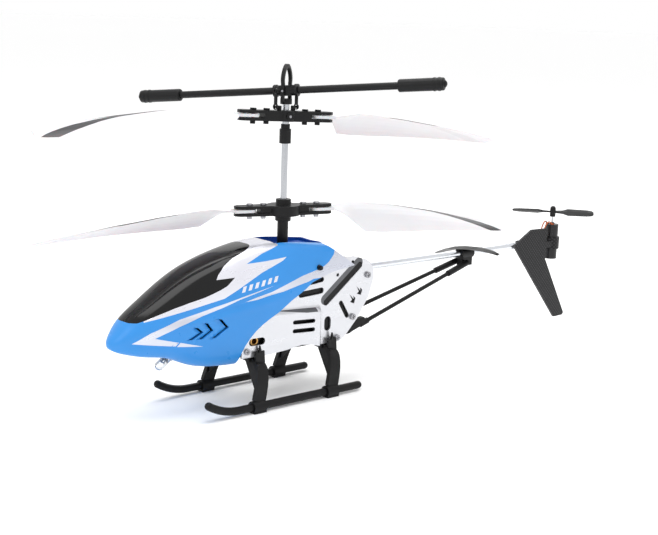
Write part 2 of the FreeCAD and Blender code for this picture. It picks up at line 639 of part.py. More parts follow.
def stabiliser():
    """A low wing with drooping tips on a sleeve round the boom, and the brace bracket below."""
    wings = []
    for side in (1, -1):
        wires = []
        for x, front, back, z, thick in ((0.0, -5.6, 5.6, 47.0, 0.9), (6.0, -4.6, 4.9, 46.8, 0.8),
                                         (13.0, -2.7, 3.8, 45.7, 0.7), (18.2, -0.9, 2.4, 44.4, 0.6)):
            y0, y1 = STABILISER_Y + front, STABILISER_Y + back
            corners = [V(side * x, y0, z), V(side * x, (y0 + y1) / 2, z + thick),
                       V(side * x, y1, z), V(side * x, (y0 + y1) / 2, z - thick)]
            wires.append(Part.makePolygon(corners + corners[:1]))
        wings.append(Part.makeLoft(wires, True, True))
    wings = [turned(wing, STABILISER_ROLL, V(0, 0, BOOM_Z), Y_AXIS) for wing in wings]
    sleeve = cyl(BOOM_R + 0.9, V(0, STABILISER_Y - 3.6, BOOM_Z), Y_AXIS, 7.2)
    bore = cyl(BOOM_R + 0.02, V(0, STABILISER_Y - 12, BOOM_Z), Y_AXIS, 24)
    return cut(fuse(wings + [sleeve, brace_bracket()]), [bore])


def brace_bracket():
    return box(-1.7, 1.7, STABILISER_Y - 3.0, STABILISER_Y + 3.0, 39.6, 43.4)


def brace():
    """The port brace: a wedge foot under the plate, a thin rod and a sleeve at the bracket."""
    foot = V(8.0, 25.6, 21.0)
    top = V(2.9, STABILISER_Y - 1.4, 41.2)
    way = (top - foot).normalize()
    far = (top - foot).Length
    bar = rod(0.85, foot + way * 4, top)
    wedge = prism_x([(24.2, 20.8), (28.0, 21.2), (36.4, 25.0), (35.6, 26.8), (31.0, 26.2)], 6.7, 9.1)
    neck = rod(1.25, foot + way * 9.6, foot + way * 14.0)
    sleeve = rod(1.3, foot + way * (far - 13.0), top)
    return fuse([bar, wedge, neck, sleeve]).cut(brace_bracket())


# ---------------------------------------------------------------- gears

def involute(base, radius):
    """Roll angle offset of an involute from its base circle to a radius."""
    if radius <= base:
        return 0.0
    angle = math.acos(base / radius)
    return math.tan(angle) - angle


def gear(teeth, addendum, dedendum, height, bore, start_angle):
    """A spur gear with its first tooth at start_angle and a little play in the teeth."""
    pressure = math.radians(25)
    pitch_r = GEAR_MODULE * teeth / 2
    base = pitch_r * math.cos(pressure)
    tip, root = pitch_r + addendum, pitch_r - dedendum
    half = math.pi / (2 * teeth) - 0.035 / pitch_r + involute(base, pitch_r)
    points = []
    for tooth in range(teeth):
        centre = math.radians(start_angle) + 2 * math.pi * tooth / teeth
        flank = [root] + [max(base, root) + (tip - max(base, root)) * k / 4 for k in range(5)]
        sides = [(r, half - involute(base, r)) for r in flank]
        for r, offset in sides:
            points.append(V(r * math.cos(centre - offset), r * math.sin(centre - offset), 0))
        for r, offset in reversed(sides):
            points.append(V(r * math.cos(centre + offset), r * math.sin(centre + offset), 0))
    clean = [points[0]]
    for point in points[1:]:
        if (point - clean[-1]).Length > 1e-4:
            clean.append(point)
    body = Part.Face(Part.makePolygon(clean + clean[:1])).extrude(V(0, 0, height))
    return body.cut(cyl(bore, V(0, 0, -1), Z_AXIS, height + 2))


def main_gear(z, bore, first_tooth):
    wheel = gear(GEAR_TEETH, 0.8 * GEAR_MODULE, 1.3 * GEAR_MODULE, GEAR_FACE, bore, first_tooth)
    for turn in range(6):
        hole = cyl(1.2, V(5.0, 0, -1), Z_AXIS, GEAR_FACE + 2)
        wheel = wheel.cut(turned(hole, 60 * turn + 30))
    hub = cyl(bore + 1.1, V(0, 0, 0), Z_AXIS, GEAR_FACE + 1.2)
    wheel = wheel.fuse(hub).cut(cyl(bore, V(0, 0, -1), Z_AXIS, GEAR_FACE + 4))
    wheel.translate(V(0, 0, z))
    return wheel


def pinion(y, z):
    toward = 90 if y < 0 else -90
    wheel = gear(PINION_TEETH, GEAR_MODULE, 1.15 * GEAR_MODULE, GEAR_FACE + 0.8, 0.5, toward)
    wheel.translate(V(0, y, z - 0.4))
    return wheel


def motor_shaft(y, top):
    return cyl(0.5, V(0, y, 27.6), Z_AXIS, top - 27.6)


# ---------------------------------------------------------------- rotor heads and blades

def grip_outline(half_root, half_tip, inner):
    return [(inner, half_root), (HEAD_BOLT_R, half_root), (HEAD_TIP_R - 1.6, half_tip),
            (HEAD_TIP_R, half_tip * 0.45), (HEAD_TIP_R, -half_tip * 0.45),
            (HEAD_TIP_R - 1.6, -half_tip), (HEAD_BOLT_R, -half_root), (inner, -half_root)]


def rotor_grips(hub_z, half_root):
    """Upper and lower grip plates of both arms, along +X and -X."""
    plates = []
    for turn in (0, 180):
        outline = grip_outline(half_root, 2.3, 0)
        for z0 in (hub_z + GRIP_GAP / 2, hub_z - GRIP_GAP / 2 - GRIP_PLATE):
            plates.append(turned(prism_z(outline, z0, z0 + GRIP_PLATE), turn))
    return plates


def head_holes(hub_z):
    holes = []
    for x in (-BLADE_PIVOT_R, -HEAD_BOLT_R, HEAD_BOLT_R, BLADE_PIVOT_R):
        holes.append(cyl(0.62, V(x, 0, hub_z - 6), Z_AXIS, 12))
    return holes


def head_bolts(hub_z):
    """Two clamping bolts and two blade pivots, each with a head and a riveted end."""
    bolts = []
    top = hub_z + GRIP_GAP / 2 + GRIP_PLATE
    low = hub_z - GRIP_GAP / 2 - GRIP_PLATE
    for x in (-BLADE_PIVOT_R, -HEAD_BOLT_R, HEAD_BOLT_R, BLADE_PIVOT_R):
        head = cyl(1.2, V(x, 0, top), Z_AXIS, 0.7)
        slot = box(x - 1.5, x + 1.5, -0.18, 0.18, top + 0.35, top + 1)
        shank = cyl(0.6, V(x, 0, low), Z_AXIS, top - low)
        end = cyl(1.0, V(x, 0, low - 1.2), Z_AXIS, 1.2)
        bolts.append(cut(fuse([head, shank, end]), [slot]))
    return bolts


def lower_rotor_head():
    z = LOWER_HUB_Z
    disc = cyl(6.3, V(0, 0, z - 1.95), Z_AXIS, 3.9)
    spacers = [box(-HEAD_BOLT_R - 1.8, HEAD_BOLT_R + 1.8, -2.4, 2.4, z - 1.9, z + 1.9)]
    neck = cyl(2.9, V(0, 0, z + 1.9), Z_AXIS, 2.2)
    collar = cyl(3.0, V(0, 0, z - 4.2), Z_AXIS, 2.4)
    solids = [disc, neck, collar] + spacers + rotor_grips(z, 3.0)
    bore = cyl(OUTER_SHAFT_R + 0.01, V(0, 0, z - 8), Z_AXIS, 9.6)
    top = cyl(OUTER_BORE_R + 0.05, V(0, 0, z), Z_AXIS, 8)
    return turned(cut(fuse(solids), head_holes(z) + [bore, top]), LOWER_AZIMUTH)


def outer_shaft():
    top = LOWER_HUB_Z + 1.5
    tube = cyl(OUTER_SHAFT_R, V(0, 0, UPPER_GEAR_Z), Z_AXIS, top - UPPER_GEAR_Z)
    return tube.cut(cyl(OUTER_BORE_R, V(0, 0, 30), Z_AXIS, 60))


def inner_shaft():
    shaft = cyl(INNER_SHAFT_R, V(0, 0, 31.4), Z_AXIS, 81.0)
    teeter = cyl(0.5, V(-5, 0, UPPER_HUB_Z), X_AXIS, 10)
    return shaft.cut(turned(teeter, UPPER_AZIMUTH - 90))


def shaft_collar():
    ring = fuse([cyl(2.2, V(0, 0, 96.6), Z_AXIS, 5.4), cyl(1.7, V(0, 0, 102.0), Z_AXIS, 1.8)])
    flat = [box(1.95, 4, -4, 4, 96, 101), box(-4, -1.95, -4, 4, 96, 101)]
    return cut(ring, flat + [cyl(INNER_SHAFT_R, V(0, 0, 90), Z_AXIS, 20)])


def shaft_yoke():
    """The fork on the shaft's top that carries the flybar pin, closed by a hoop."""
    base = cyl(2.2, V(0, 0, 111.2), Z_AXIS, 2.0)
    bar = box(-4.1, 4.1, -0.65, 0.65, 112.2, 113.2)
    legs = [box(3.1, 4.1, -0.65, 0.65, 112.2, 119.0), box(-4.1, -3.1, -0.65, 0.65, 112.2, 119.0)]
    outer = [V(-4.1, 0, 119.0), V(-3.5, 0, 123.2), V(0, 0, 126.0), V(3.5, 0, 123.2), V(4.1, 0, 119.0)]
    inner = [V(3.1, 0, 119.0), V(2.5, 0, 122.6), V(0, 0, 124.8), V(-2.5, 0, 122.6), V(-3.1, 0, 119.0)]
    edges = [spline(outer), Part.makeLine(outer[-1], inner[0]), spline(inner),
             Part.makeLine(inner[-1], outer[0])]
    hoop = Part.Face(Part.Wire(edges)).extrude(V(0, 1.3, 0))
    hoop.translate(V(0, -0.65, 0))
    shape = fuse([base, bar, hoop] + legs)
    tools = [cyl(INNER_SHAFT_R, V(0, 0, 105), Z_AXIS, 7.4),
             cyl(FLYBAR_PIN_R, V(-6, 0, FLYBAR_Z), X_AXIS, 12)]
    return turned(cut(shape, tools), FLYBAR_AZIMUTH - 90)


def pivot_pins():
    teeter = cyl(0.5, V(-4.0, 0, UPPER_HUB_Z), X_AXIS, 8.0)
    flybar = cyl(FLYBAR_PIN_R, V(-4.3, 0, FLYBAR_Z), X_AXIS, 8.6)
    return [turned(teeter, UPPER_AZIMUTH - 90), turned(flybar, FLYBAR_AZIMUTH - 90)]


def radial_ball(z, root):
    """A ball on a thin stub that starts at radius root and looks outwards along +X."""
    return fuse([ball(LINK_BALL_R, V(LINK_R, 0, z)), cyl(0.3, V(root, 0, z), X_AXIS, LINK_R - root)])


LOWER_BALL_Z = UPPER_HUB_Z + 3.4


def head_tilted(shape):
    """The upper head as it stands, tipped about its teeter pin."""
    axis = turned_axis(UPPER_AZIMUTH + 90)
    return turned(shape, -HEAD_TILT, V(0, 0, UPPER_HUB_Z), axis)


def flybar_tilted(shape):
    axis = turned_axis(FLYBAR_AZIMUTH + 90)
    return turned(shape, -FLYBAR_TILT, V(0, 0, FLYBAR_Z), axis)


def turned_axis(azimuth):
    return V(math.cos(math.radians(azimuth)), math.sin(math.radians(azimuth)), 0)


def upper_rotor_head():
    z = UPPER_HUB_Z
    block = box(-11.2, 11.2, -2.5, 2.5, z - 1.95, z + 1.95)
    core = cyl(3.4, V(0, 0, z - 1.95), Z_AXIS, 3.9)
    boss = cyl(1.5, V(0, -3.9, z), Y_AXIS, 7.8)
    solids = [block, core, boss] + rotor_grips(z, 2.5)
    clear = [cyl(INNER_SHAFT_R + 0.5, V(0, 0, z - 6), Z_AXIS, 12),
             cyl(0.5 + RUNNING_GAP, V(0, -6, z), Y_AXIS, 12)]
    gap = [box(HEAD_BOLT_R + 1.7, 30, -9, 9, z - GRIP_GAP / 2, z + GRIP_GAP / 2),
           box(-30, -HEAD_BOLT_R - 1.7, -9, 9, z - GRIP_GAP / 2, z + GRIP_GAP / 2)]
    head = turned(cut(fuse(solids), clear + gap + head_holes(z)), UPPER_AZIMUTH)
    for turn in (LINK_AZIMUTH, LINK_AZIMUTH + 180):
        post = fuse([box(3.2, 4.2, -0.7, 0.7, z, LOWER_BALL_Z + 0.4), radial_ball(LOWER_BALL_Z, 3.6)])
        head = head.fuse(turned(post, turn))
    return head_tilted(head.removeSplitter())


def blade_section(r, front, back, pitch, droop, thick, camber):
    """One aerofoil section at radius r: front and back are the chord's ends, in plan."""
    c, s = math.cos(math.radians(pitch)), math.sin(math.radians(pitch))
    chord = front - back
    top, bottom = [], []
    for step in range(7):
        t = step / 6
        bow = camber * 4 * t * (1 - t)
        body = thick * (0.25 + 0.75 * math.sin(math.pi * (t ** 0.7))) / 2
        along = back + chord * (1 - t)
        top.append((along, bow + body))
        bottom.append((along, bow - body))
    points = []
    for along, up in top + list(reversed(bottom)):
        points.append(V(r, along * c - up * s, along * s + up * c - droop))
    return Part.makePolygon(points + points[:1])


BLADE_STATIONS = [
    # radius, leading edge, trailing edge, pitch, thickness, camber
    (19.9, 2.5, -2.5, 0.0, 1.0, 0.0),
    (23.0, 3.5, -6.0, 14.0, 1.0, 0.15),
    (29.0, 4.6, -13.6, 29.0, 0.9, 0.9),
    (36.0, 5.4, -13.4, 29.0, 0.85, 1.2),
    (50.0, 6.0, -11.8, 26.0, 0.8, 1.2),
    (66.0, 6.0, -9.5, 22.0, 0.75, 1.0),
    (82.0, 5.2, -7.0, 19.0, 0.7, 0.7),
    (92.0, 3.7, -5.4, 17.0, 0.65, 0.5),
    (96.0, 1.6, -4.1, 16.0, 0.6, 0.2),
]


def blade_droop(r, total):
    reach = max(r - 19.9, 0.0) / (ROTOR_R - 19.9)
    return total * reach ** 1.2


def blade(hub_z, total_droop, leading_side):
    """A blade along +X; leading_side is +1 when it sweeps towards +Y, -1 towards -Y."""
    wires = [blade_section(r, front, back, pitch, blade_droop(r, total_droop), thick, camber)
             for r, front, back, pitch, thick, camber in BLADE_STATIONS]
    wing = Part.makeLoft(wires, True, True)
    tongue = box(BLADE_PIVOT_R, 20.1, -2.5, 2.5, -TONGUE / 2, TONGUE / 2)
    shape = fuse([wing, tongue, cyl(2.5, V(BLADE_PIVOT_R, 0, -TONGUE / 2), Z_AXIS, TONGUE)])
    shape = shape.cut(cyl(0.6 + RUNNING_GAP, V(BLADE_PIVOT_R, 0, -5), Z_AXIS, 10))
    if leading_side < 0:
        shape = shape.mirror(V(0, 0, 0), Y_AXIS)
    shape = shape.copy()
    shape.translate(V(0, 0, hub_z))
    return shape


# ---------------------------------------------------------------- flybar

def flybar_hub():
    z = FLYBAR_Z
    core = cyl(2.6, V(0, 0, z - 1.9), Z_AXIS, 3.8)
    barrel = cyl(2.0, V(-4.8, 0, z), X_AXIS, 9.6)
    rings = [cyl(2.3, V(x, 0, z), X_AXIS, 1.2) for x in (-4.8, 3.6)]
    hub = fuse([core, barrel] + rings)
    for turn in (LINK_AZIMUTH, LINK_AZIMUTH + 180):
        hub = hub.fuse(turned(radial_ball(z, 2.2), turn - FLYBAR_AZIMUTH))
    tools = [cyl(FLYBAR_PIN_R + RUNNING_GAP, V(0, -6, z), Y_AXIS, 12),
             cyl(1.0, V(-6, 0, z), X_AXIS, 4.0), cyl(1.0, V(2.0, 0, z), X_AXIS, 4.0)]
    hub = cut(hub.removeSplitter(), tools)
    return flybar_tilted(turned(hub, FLYBAR_AZIMUTH))


def flybar_rods():
    rods = []
    for side in (-1, 1):
        bar = rod(1.0, V(2.0 * side, 0, FLYBAR_Z), V(9.0 * side, 0, FLYBAR_Z))
        shaft = rod(1.35, V(4.9 * side, 0, FLYBAR_Z), V(47.0 * side, 0, FLYBAR_Z))
        rods.append(flybar_tilted(turned(fuse([bar, shaft]), FLYBAR_AZIMUTH)))
    return rods


def flybar_weights():
    weights = []
    for side in (-1, 1):
        start, end = 43.4 * side, (FLYBAR_HALF - 0.6) * side
        body = rod(2.35, V(start, 0, FLYBAR_Z), V(end, 0, FLYBAR_Z))
        body = body.makeFillet(0.6, [e for e in body.Edges if e.Curve.TypeId == "Part::GeomCircle"])
        rings = [rod(2.5, V(end - s * side, 0, FLYBAR_Z), V(end - (s - 0.7) * side, 0, FLYBAR_Z))
                 for s in (2.2, 4.0)]
        tip = ball(1.6, V(end - 0.6 * side, 0, FLYBAR_Z))
        seat = rod(1.35, V(42.0 * side, 0, FLYBAR_Z), V(47.0 * side, 0, FLYBAR_Z))
        shape = fuse([body, tip] + rings).cut(seat)
        weights.append(flybar_tilted(turned(shape, FLYBAR_AZIMUTH)))
    return weights


def ball_rise(azimuth, bar_azimuth, tilt):
    """How far a ball at azimuth is lifted when the bar along bar_azimuth is tipped by tilt."""
    return LINK_R * math.cos(math.radians(azimuth - bar_azimuth)) * math.sin(math.radians(tilt))


def rotor_link(azimuth):
    """A flat rod with an eye round the flybar's ball and an eye round the head's ball."""
    low = LOWER_BALL_Z + ball_rise(azimuth, UPPER_AZIMUTH, HEAD_TILT)
    high = FLYBAR_Z + ball_rise(azimuth, FLYBAR_AZIMUTH, FLYBAR_TILT)
    x0, x1 = LINK_R - 0.4, LINK_R + 0.4
    eyes = [cyl(1.1, V(x0, 0, z), X_AXIS, x1 - x0) for z in (low, high)]
    bar = box(x0, x1, -0.55, 0.55, low, high)
    holes = [cyl(LINK_BALL_R + 0.25, V(x0 - 1, 0, z), X_AXIS, 4) for z in (low, high)]
    return turned(cut(fuse(eyes + [bar]), holes), azimuth)


def main():
    os.makedirs("parts", exist_ok=True)

    shell, glazing = canopy_parts()
    lens, holder = lamp_parts()
    save("canopy_shell", shell)
    save("windscreen", glazing)
    save("headlight_lens", lens)
    save("headlight_holder", holder)
    save("canopy_pegs", canopy_pegs())

    save("port_side_plate", side_plate(SOCKET_Y - 2.0, SOCKET_Y + 1.2))
    save("starboard_side_plate", mirror_x(side_plate(SOCKET_Y - 1.6, SOCKET_Y + 1.6)))
    save("plate_screws", plate_screws())
    save("lower_deck", lower_deck())
    save("motor_deck", motor_deck())
    save("upper_deck", upper_deck())
    save("rear_frame", rear_frame())
    save("shaft_bushings", shaft_bushings())
    save("front_motor", motor_can(-GEAR_Y))
    save("rear_motor", motor_can(GEAR_Y))
    save("battery", battery())
    save("circuit_board", circuit_board())
    housing, liner = charge_socket()
    save("charge_socket_housing", housing)
    save("charge_socket_liner", liner)
    switch_body, slider = switch_parts()
    save("switch_housing", switch_body)
    save("switch_slider", slider)

    for name, y in (("front", FRONT_CLAMP_Y), ("rear", REAR_CLAMP_Y)):
        save("port_" + name + "_leg", leg(y))
        save("starboard_" + name + "_leg", mirror_x(leg(y)))
    save("port_skid_tube", skid_tube())
    save("starboard_skid_tube", mirror_x(skid_tube()))

    save("tail_boom", tail_boom())
    save("port_brace", brace())
    save("starboard_brace", mirror_x(brace()))
    save("stabiliser", stabiliser())
    save("tail_fin", tail_fin())
    save("tail_motor", tail_motor())
    save("tail_motor_leads", tail_leads())
    save("tail_propeller", tail_propeller())
    save("tail_motor_shaft", tail_motor_shaft())

    gap_turn = 180.0 / GEAR_TEETH
    save("inner_shaft", inner_shaft())
    save("lower_main_gear", main_gear(LOWER_GEAR_Z, INNER_SHAFT_R, -90 + gap_turn))
    save("shaft_collar", shaft_collar())
    save("shaft_yoke", shaft_yoke())
    save("pivot_pins", pivot_pins())
    save("outer_shaft", outer_shaft())
    save("upper_main_gear", main_gear(UPPER_GEAR_Z, OUTER_SHAFT_R, 90 + gap_turn))
    save("lower_rotor_head", lower_rotor_head())
    save("lower_head_bolts", [turned(bolt, LOWER_AZIMUTH) for bolt in head_bolts(LOWER_HUB_Z)])
    save("front_pinion", pinion(-GEAR_Y, LOWER_GEAR_Z))
    save("front_motor_shaft", motor_shaft(-GEAR_Y, LOWER_GEAR_Z + 2.8))
    save("rear_pinion", pinion(GEAR_Y, UPPER_GEAR_Z))
    save("rear_motor_shaft", motor_shaft(GEAR_Y, UPPER_GEAR_Z + 2.8))

    for name, turn in (("aft", 0), ("forward", 180)):
        lower = turned(blade(LOWER_HUB_Z, LOWER_DROOP, 1), LOWER_AZIMUTH + turn)
        upper = turned(blade(UPPER_HUB_Z, UPPER_DROOP, -1), UPPER_AZIMUTH + turn)
        save("lower_" + name + "_blade", lower)
        save("upper_" + name + "_blade", head_tilted(upper))

    save("upper_rotor_head", upper_rotor_head())
    save("upper_head_bolts", [head_tilted(turned(bolt, UPPER_AZIMUTH)) for bolt in head_bolts(UPPER_HUB_Z)])
    save("flybar_hub", flybar_hub())
    save("flybar_rods", flybar_rods())
    save("flybar_weights", flybar_weights())
    save("aft_rotor_link", rotor_link(LINK_AZIMUTH))
    save("forward_rotor_link", rotor_link(LINK_AZIMUTH + 180))


main()
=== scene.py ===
import json
import math

import bmesh
import bpy
import numpy as np
from mathutils import Matrix, Vector


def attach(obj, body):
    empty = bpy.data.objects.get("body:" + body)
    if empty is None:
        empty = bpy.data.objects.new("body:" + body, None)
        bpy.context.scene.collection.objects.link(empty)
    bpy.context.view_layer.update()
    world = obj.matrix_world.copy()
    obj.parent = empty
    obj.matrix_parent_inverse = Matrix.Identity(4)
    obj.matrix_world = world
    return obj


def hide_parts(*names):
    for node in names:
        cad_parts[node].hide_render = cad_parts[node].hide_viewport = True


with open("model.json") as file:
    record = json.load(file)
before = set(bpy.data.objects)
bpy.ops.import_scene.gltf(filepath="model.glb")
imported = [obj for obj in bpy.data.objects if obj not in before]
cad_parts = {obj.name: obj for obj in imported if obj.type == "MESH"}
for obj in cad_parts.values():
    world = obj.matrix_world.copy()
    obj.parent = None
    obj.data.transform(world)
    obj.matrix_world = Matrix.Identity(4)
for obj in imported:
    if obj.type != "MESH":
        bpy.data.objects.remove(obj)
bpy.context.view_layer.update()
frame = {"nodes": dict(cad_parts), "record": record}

# The row frame is in metres.  Shapes below are written in millimetres around the rotor mast,
# which stands at y = MAST_Y of the row frame.
MM = 0.001
MAST_Y = -38.6 * MM
NODES = frame["nodes"]


def place(x, y, z):
    """A point in millimetres around the mast, in the row frame."""
    return Vector((x * MM, y * MM + MAST_Y, z * MM))


# ---------------------------------------------------------------- camera, floor, light

CAMERA_AZIMUTH = math.radians(49.16)
CAMERA_ELEVATION = math.radians(11.48)
CAMERA_ROLL = math.radians(2.0)
CAMERA_DISTANCE = 0.5
CAMERA_TARGET = place(0, 23.92, 46.54)
CAMERA_LENS = 69.36


def make_camera():
    data = bpy.data.cameras.new("view_camera")
    data.sensor_width = 36
    data.lens = CAMERA_LENS
    data.clip_start = 0.01
    data.clip_end = 50
    camera = bpy.data.objects.new("view_camera", data)
    bpy.context.scene.collection.objects.link(camera)
    a, e = CAMERA_AZIMUTH, CAMERA_ELEVATION
    back = Vector((math.sin(a) * math.cos(e), -math.cos(a) * math.cos(e), math.sin(e)))
    right = Vector((math.cos(a), math.sin(a), 0))
    up = back.cross(right)
    c, s = math.cos(CAMERA_ROLL), math.sin(CAMERA_ROLL)
    rolled_right = c * right + s * up
    rolled_up = -s * right + c * up
    turn = Matrix((rolled_right, rolled_up, back)).transposed().to_4x4()
    camera.matrix_world = Matrix.Translation(CAMERA_TARGET + back * CAMERA_DISTANCE) @ turn
    bpy.context.scene.camera = camera


def make_floor():
    bpy.ops.mesh.primitive_plane_add(size=24, location=(0, 0, 0))
    floor = bpy.context.object
    floor.name = "studio_floor"
    finish = bpy.data.materials.new("studio_floor")
    finish.use_nodes = True
    shader = finish.node_tree.nodes["Principled BSDF"]
    shader.inputs["Base Color"].default_value = (0.995, 0.995, 0.995, 1)
    shader.inputs["Roughness"].default_value = 0.55
    shader.inputs["Specular IOR Level"].default_value = 0.2
    floor.data.materials.append(finish)


def area_light(name, target, azimuth, elevation, distance, size, watts):
    """A square softbox that faces target from the given direction."""
    a, e = math.radians(azimuth), math.radians(elevation)
    back = Vector((math.sin(a) * math.cos(e), -math.cos(a) * math.cos(e), math.sin(e)))
    data = bpy.data.lights.new(name, "AREA")
    data.shape = "SQUARE"
    data.size = size
    data.energy = watts
    lamp = bpy.data.objects.new(name, data)
    lamp.location = target + back * distance
    lamp.rotation_mode = "QUATERNION"
    lamp.rotation_quaternion = (-back).to_track_quat("-Z", "Y")
    bpy.context.scene.collection.objects.link(lamp)


def make_light():
    world = bpy.data.worlds.new("studio")
    bpy.context.scene.world = world
    world.use_nodes = True
    background = world.node_tree.nodes["Background"]
    background.inputs["Color"].default_value = (1, 1, 1, 1)
    background.inputs["Strength"].default_value = 1.0
    centre = Vector((0, 0, 0.06))
    area_light("top_softbox", centre + Vector((0, -0.05, 0)), 0, 90, 0.9, 0.8, 6.0)
    area_light("front_softbox", centre, 10, 30, 1.1, 0.6, 1.6)
    area_light("rear_softbox", centre, 215, 40, 1.1, 0.6, 1.6)
    bpy.context.scene.view_settings.view_transform = "Standard"


make_camera()
make_floor()
make_light()

# ---------------------------------------------------------------- procedural materials


def srgb(red, green, blue):
    """A linear colour from 0-255 screen values."""
    channels = []
    for value in (red, green, blue):
        v = value / 255
        channels.append(v / 12.92 if v <= 0.04045 else ((v + 0.055) / 1.055) ** 2.4)
    return (*channels, 1.0)


def shaded(colour, factor):
    return (*(min(channel * factor, 1.0) for channel in colour[:3]), 1.0)


BAND_SHARPNESS = 8


class Finish:
    """A Principled material whose colour, roughness and bump vary over the surface."""

    def __init__(self, name, colour, rough, metal=0.0, coat=0.0, **sockets):
        self.material = bpy.data.materials.new(name)
        self.material.use_nodes = True
        self.material.diffuse_color = colour
        self.tree = self.material.node_tree
        self.shader = self.tree.nodes["Principled BSDF"]
        self.colour = colour
        self.rough = rough
        self.height = None
        self.set("Base Color", colour)
        self.set("Roughness", rough)
        self.set("Metallic", metal)
        self.set("Coat Weight", coat)
        for socket, value in sockets.items():
            self.set(socket.replace("_", " "), value)

    def set(self, socket, value):
        self.shader.inputs[socket].default_value = value

    def node(self, kind, **values):
        made = self.tree.nodes.new(kind)
        for key, value in values.items():
            if key in made.inputs:
                made.inputs[key].default_value = value
            else:
                setattr(made, key, value)
        return made

    def link(self, output, target):
        self.tree.links.new(output, target)

    def coords(self, stretch=(1, 1, 1), turn=(0, 0, 0)):
        where = self.node("ShaderNodeTexCoord")
        mapping = self.node("ShaderNodeMapping", Scale=stretch, Rotation=turn)
        self.link(where.outputs["Object"], mapping.inputs["Vector"])
        return mapping.outputs["Vector"]

    def noise(self, scale, detail=3.0, stretch=(1, 1, 1), turn=(0, 0, 0)):
        texture = self.node("ShaderNodeTexNoise", Scale=scale, Detail=detail)
        self.link(self.coords(stretch, turn), texture.inputs["Vector"])
        return texture.outputs["Fac"]

    def spread(self, pattern, low, high):
        """Maps a noise pattern on to a range of values."""
        ranged = self.node("ShaderNodeMapRange")
        for socket, value in (("From Min", 0.3), ("From Max", 0.7),
                              ("To Min", low), ("To Max", high)):
            ranged.inputs[socket].default_value = value
        self.link(pattern, ranged.inputs["Value"])
        return ranged.outputs["Result"]

    def mix(self, factor, first, second):
        """Mixes two colours or colour outputs by factor and returns the output."""
        mixed = self.node("ShaderNodeMix", data_type="RGBA")
        self.link(factor, mixed.inputs[0])
        for socket, value in ((mixed.inputs[6], first), (mixed.inputs[7], second)):
            if isinstance(value, tuple):
                socket.default_value = value
            else:
                self.link(value, socket)
        return mixed.outputs[2]

    def math(self, operation, first, second):
        made = self.node("ShaderNodeMath", operation=operation)
        for socket, value in zip(made.inputs, (first, second)):
            if isinstance(value, (int, float)):
                socket.default_value = value
            else:
                self.link(value, socket)
        return made.outputs[0]

    def curve(self, source, points):
        """A smooth curve through (x, y) points, as a float curve over a unit square."""
        xs, ys = [x for x, y in points], [y for x, y in points]
        span_x, low_y, span_y = 100.0, -20.0, 40.0
        node = self.node("ShaderNodeFloatCurve")
        line = node.mapping.curves[0]
        line.points[0].location = (xs[0] / span_x, (ys[0] - low_y) / span_y)
        line.points[1].location = (xs[-1] / span_x, (ys[-1] - low_y) / span_y)
        for x, y in points[1:-1]:
            line.points.new(x / span_x, (y - low_y) / span_y)
        node.mapping.update()
        self.link(self.math("DIVIDE", source, span_x), node.inputs["Value"])
        return self.math("ADD", self.math("MULTIPLY", node.outputs["Value"], span_y), low_y)

    def between(self, along, across, band):
        """1 where across lies between the band's two edges, with a soft edge, else 0."""
        low = self.curve(along, [(r, a) for r, a, b in band])
        high = self.curve(along, [(r, b) for r, a, b in band])
        above = self.math("MULTIPLY", self.math("SUBTRACT", across, low), BAND_SHARPNESS)
        below = self.math("MULTIPLY", self.math("SUBTRACT", high, across), BAND_SHARPNESS)
        inner = self.math("MINIMUM", above, below)
        started = self.math("SUBTRACT", along, band[0][0])
        ended = self.math("SUBTRACT", band[-1][0], along)
        both = self.math("MINIMUM", inner, self.math("MINIMUM", started, ended))
        clamp = self.node("ShaderNodeClamp")
        self.link(both, clamp.inputs["Value"])
        return clamp.outputs["Result"]

    def vary_colour(self, scale, amount, stretch=(1, 1, 1)):
        pattern = self.spread(self.noise(scale, 4.0, stretch), 0, 1)
        colour = self.mix(pattern, shaded(self.colour, 1 - amount), shaded(self.colour, 1 + amount))
        self.link(colour, self.shader.inputs["Base Color"])
        return self

    def vary_rough(self, scale, amount, stretch=(1, 1, 1)):
        pattern = self.noise(scale, 4.0, stretch)
        low, high = max(self.rough - amount, 0.02), min(self.rough + amount, 1.0)
        self.link(self.spread(pattern, low, high), self.shader.inputs["Roughness"])
        return self

    def grain(self, scale, depth_mm, stretch=(1, 1, 1), strength=0.5):
        """Fine bumps depth_mm high; called again it adds a second layer."""
        bump = self.node("ShaderNodeBump", Strength=strength, Distance=depth_mm * MM)
        self.link(self.noise(scale, 4.0, stretch), bump.inputs["Height"])
        if self.height is not None:
            self.link(self.height, bump.inputs["Normal"])
        self.height = bump.outputs["Normal"]
        self.link(self.height, self.shader.inputs["Normal"])
        return self


BLUE = srgb(47, 133, 206)
# painted shade: a darker blue laid on the sunken roof's floor and walls where they fall into shade
ROOF_SHADE_BLUE = srgb(10, 70, 160)
LOW_SHEEN = {"Specular_IOR_Level": 0.22}

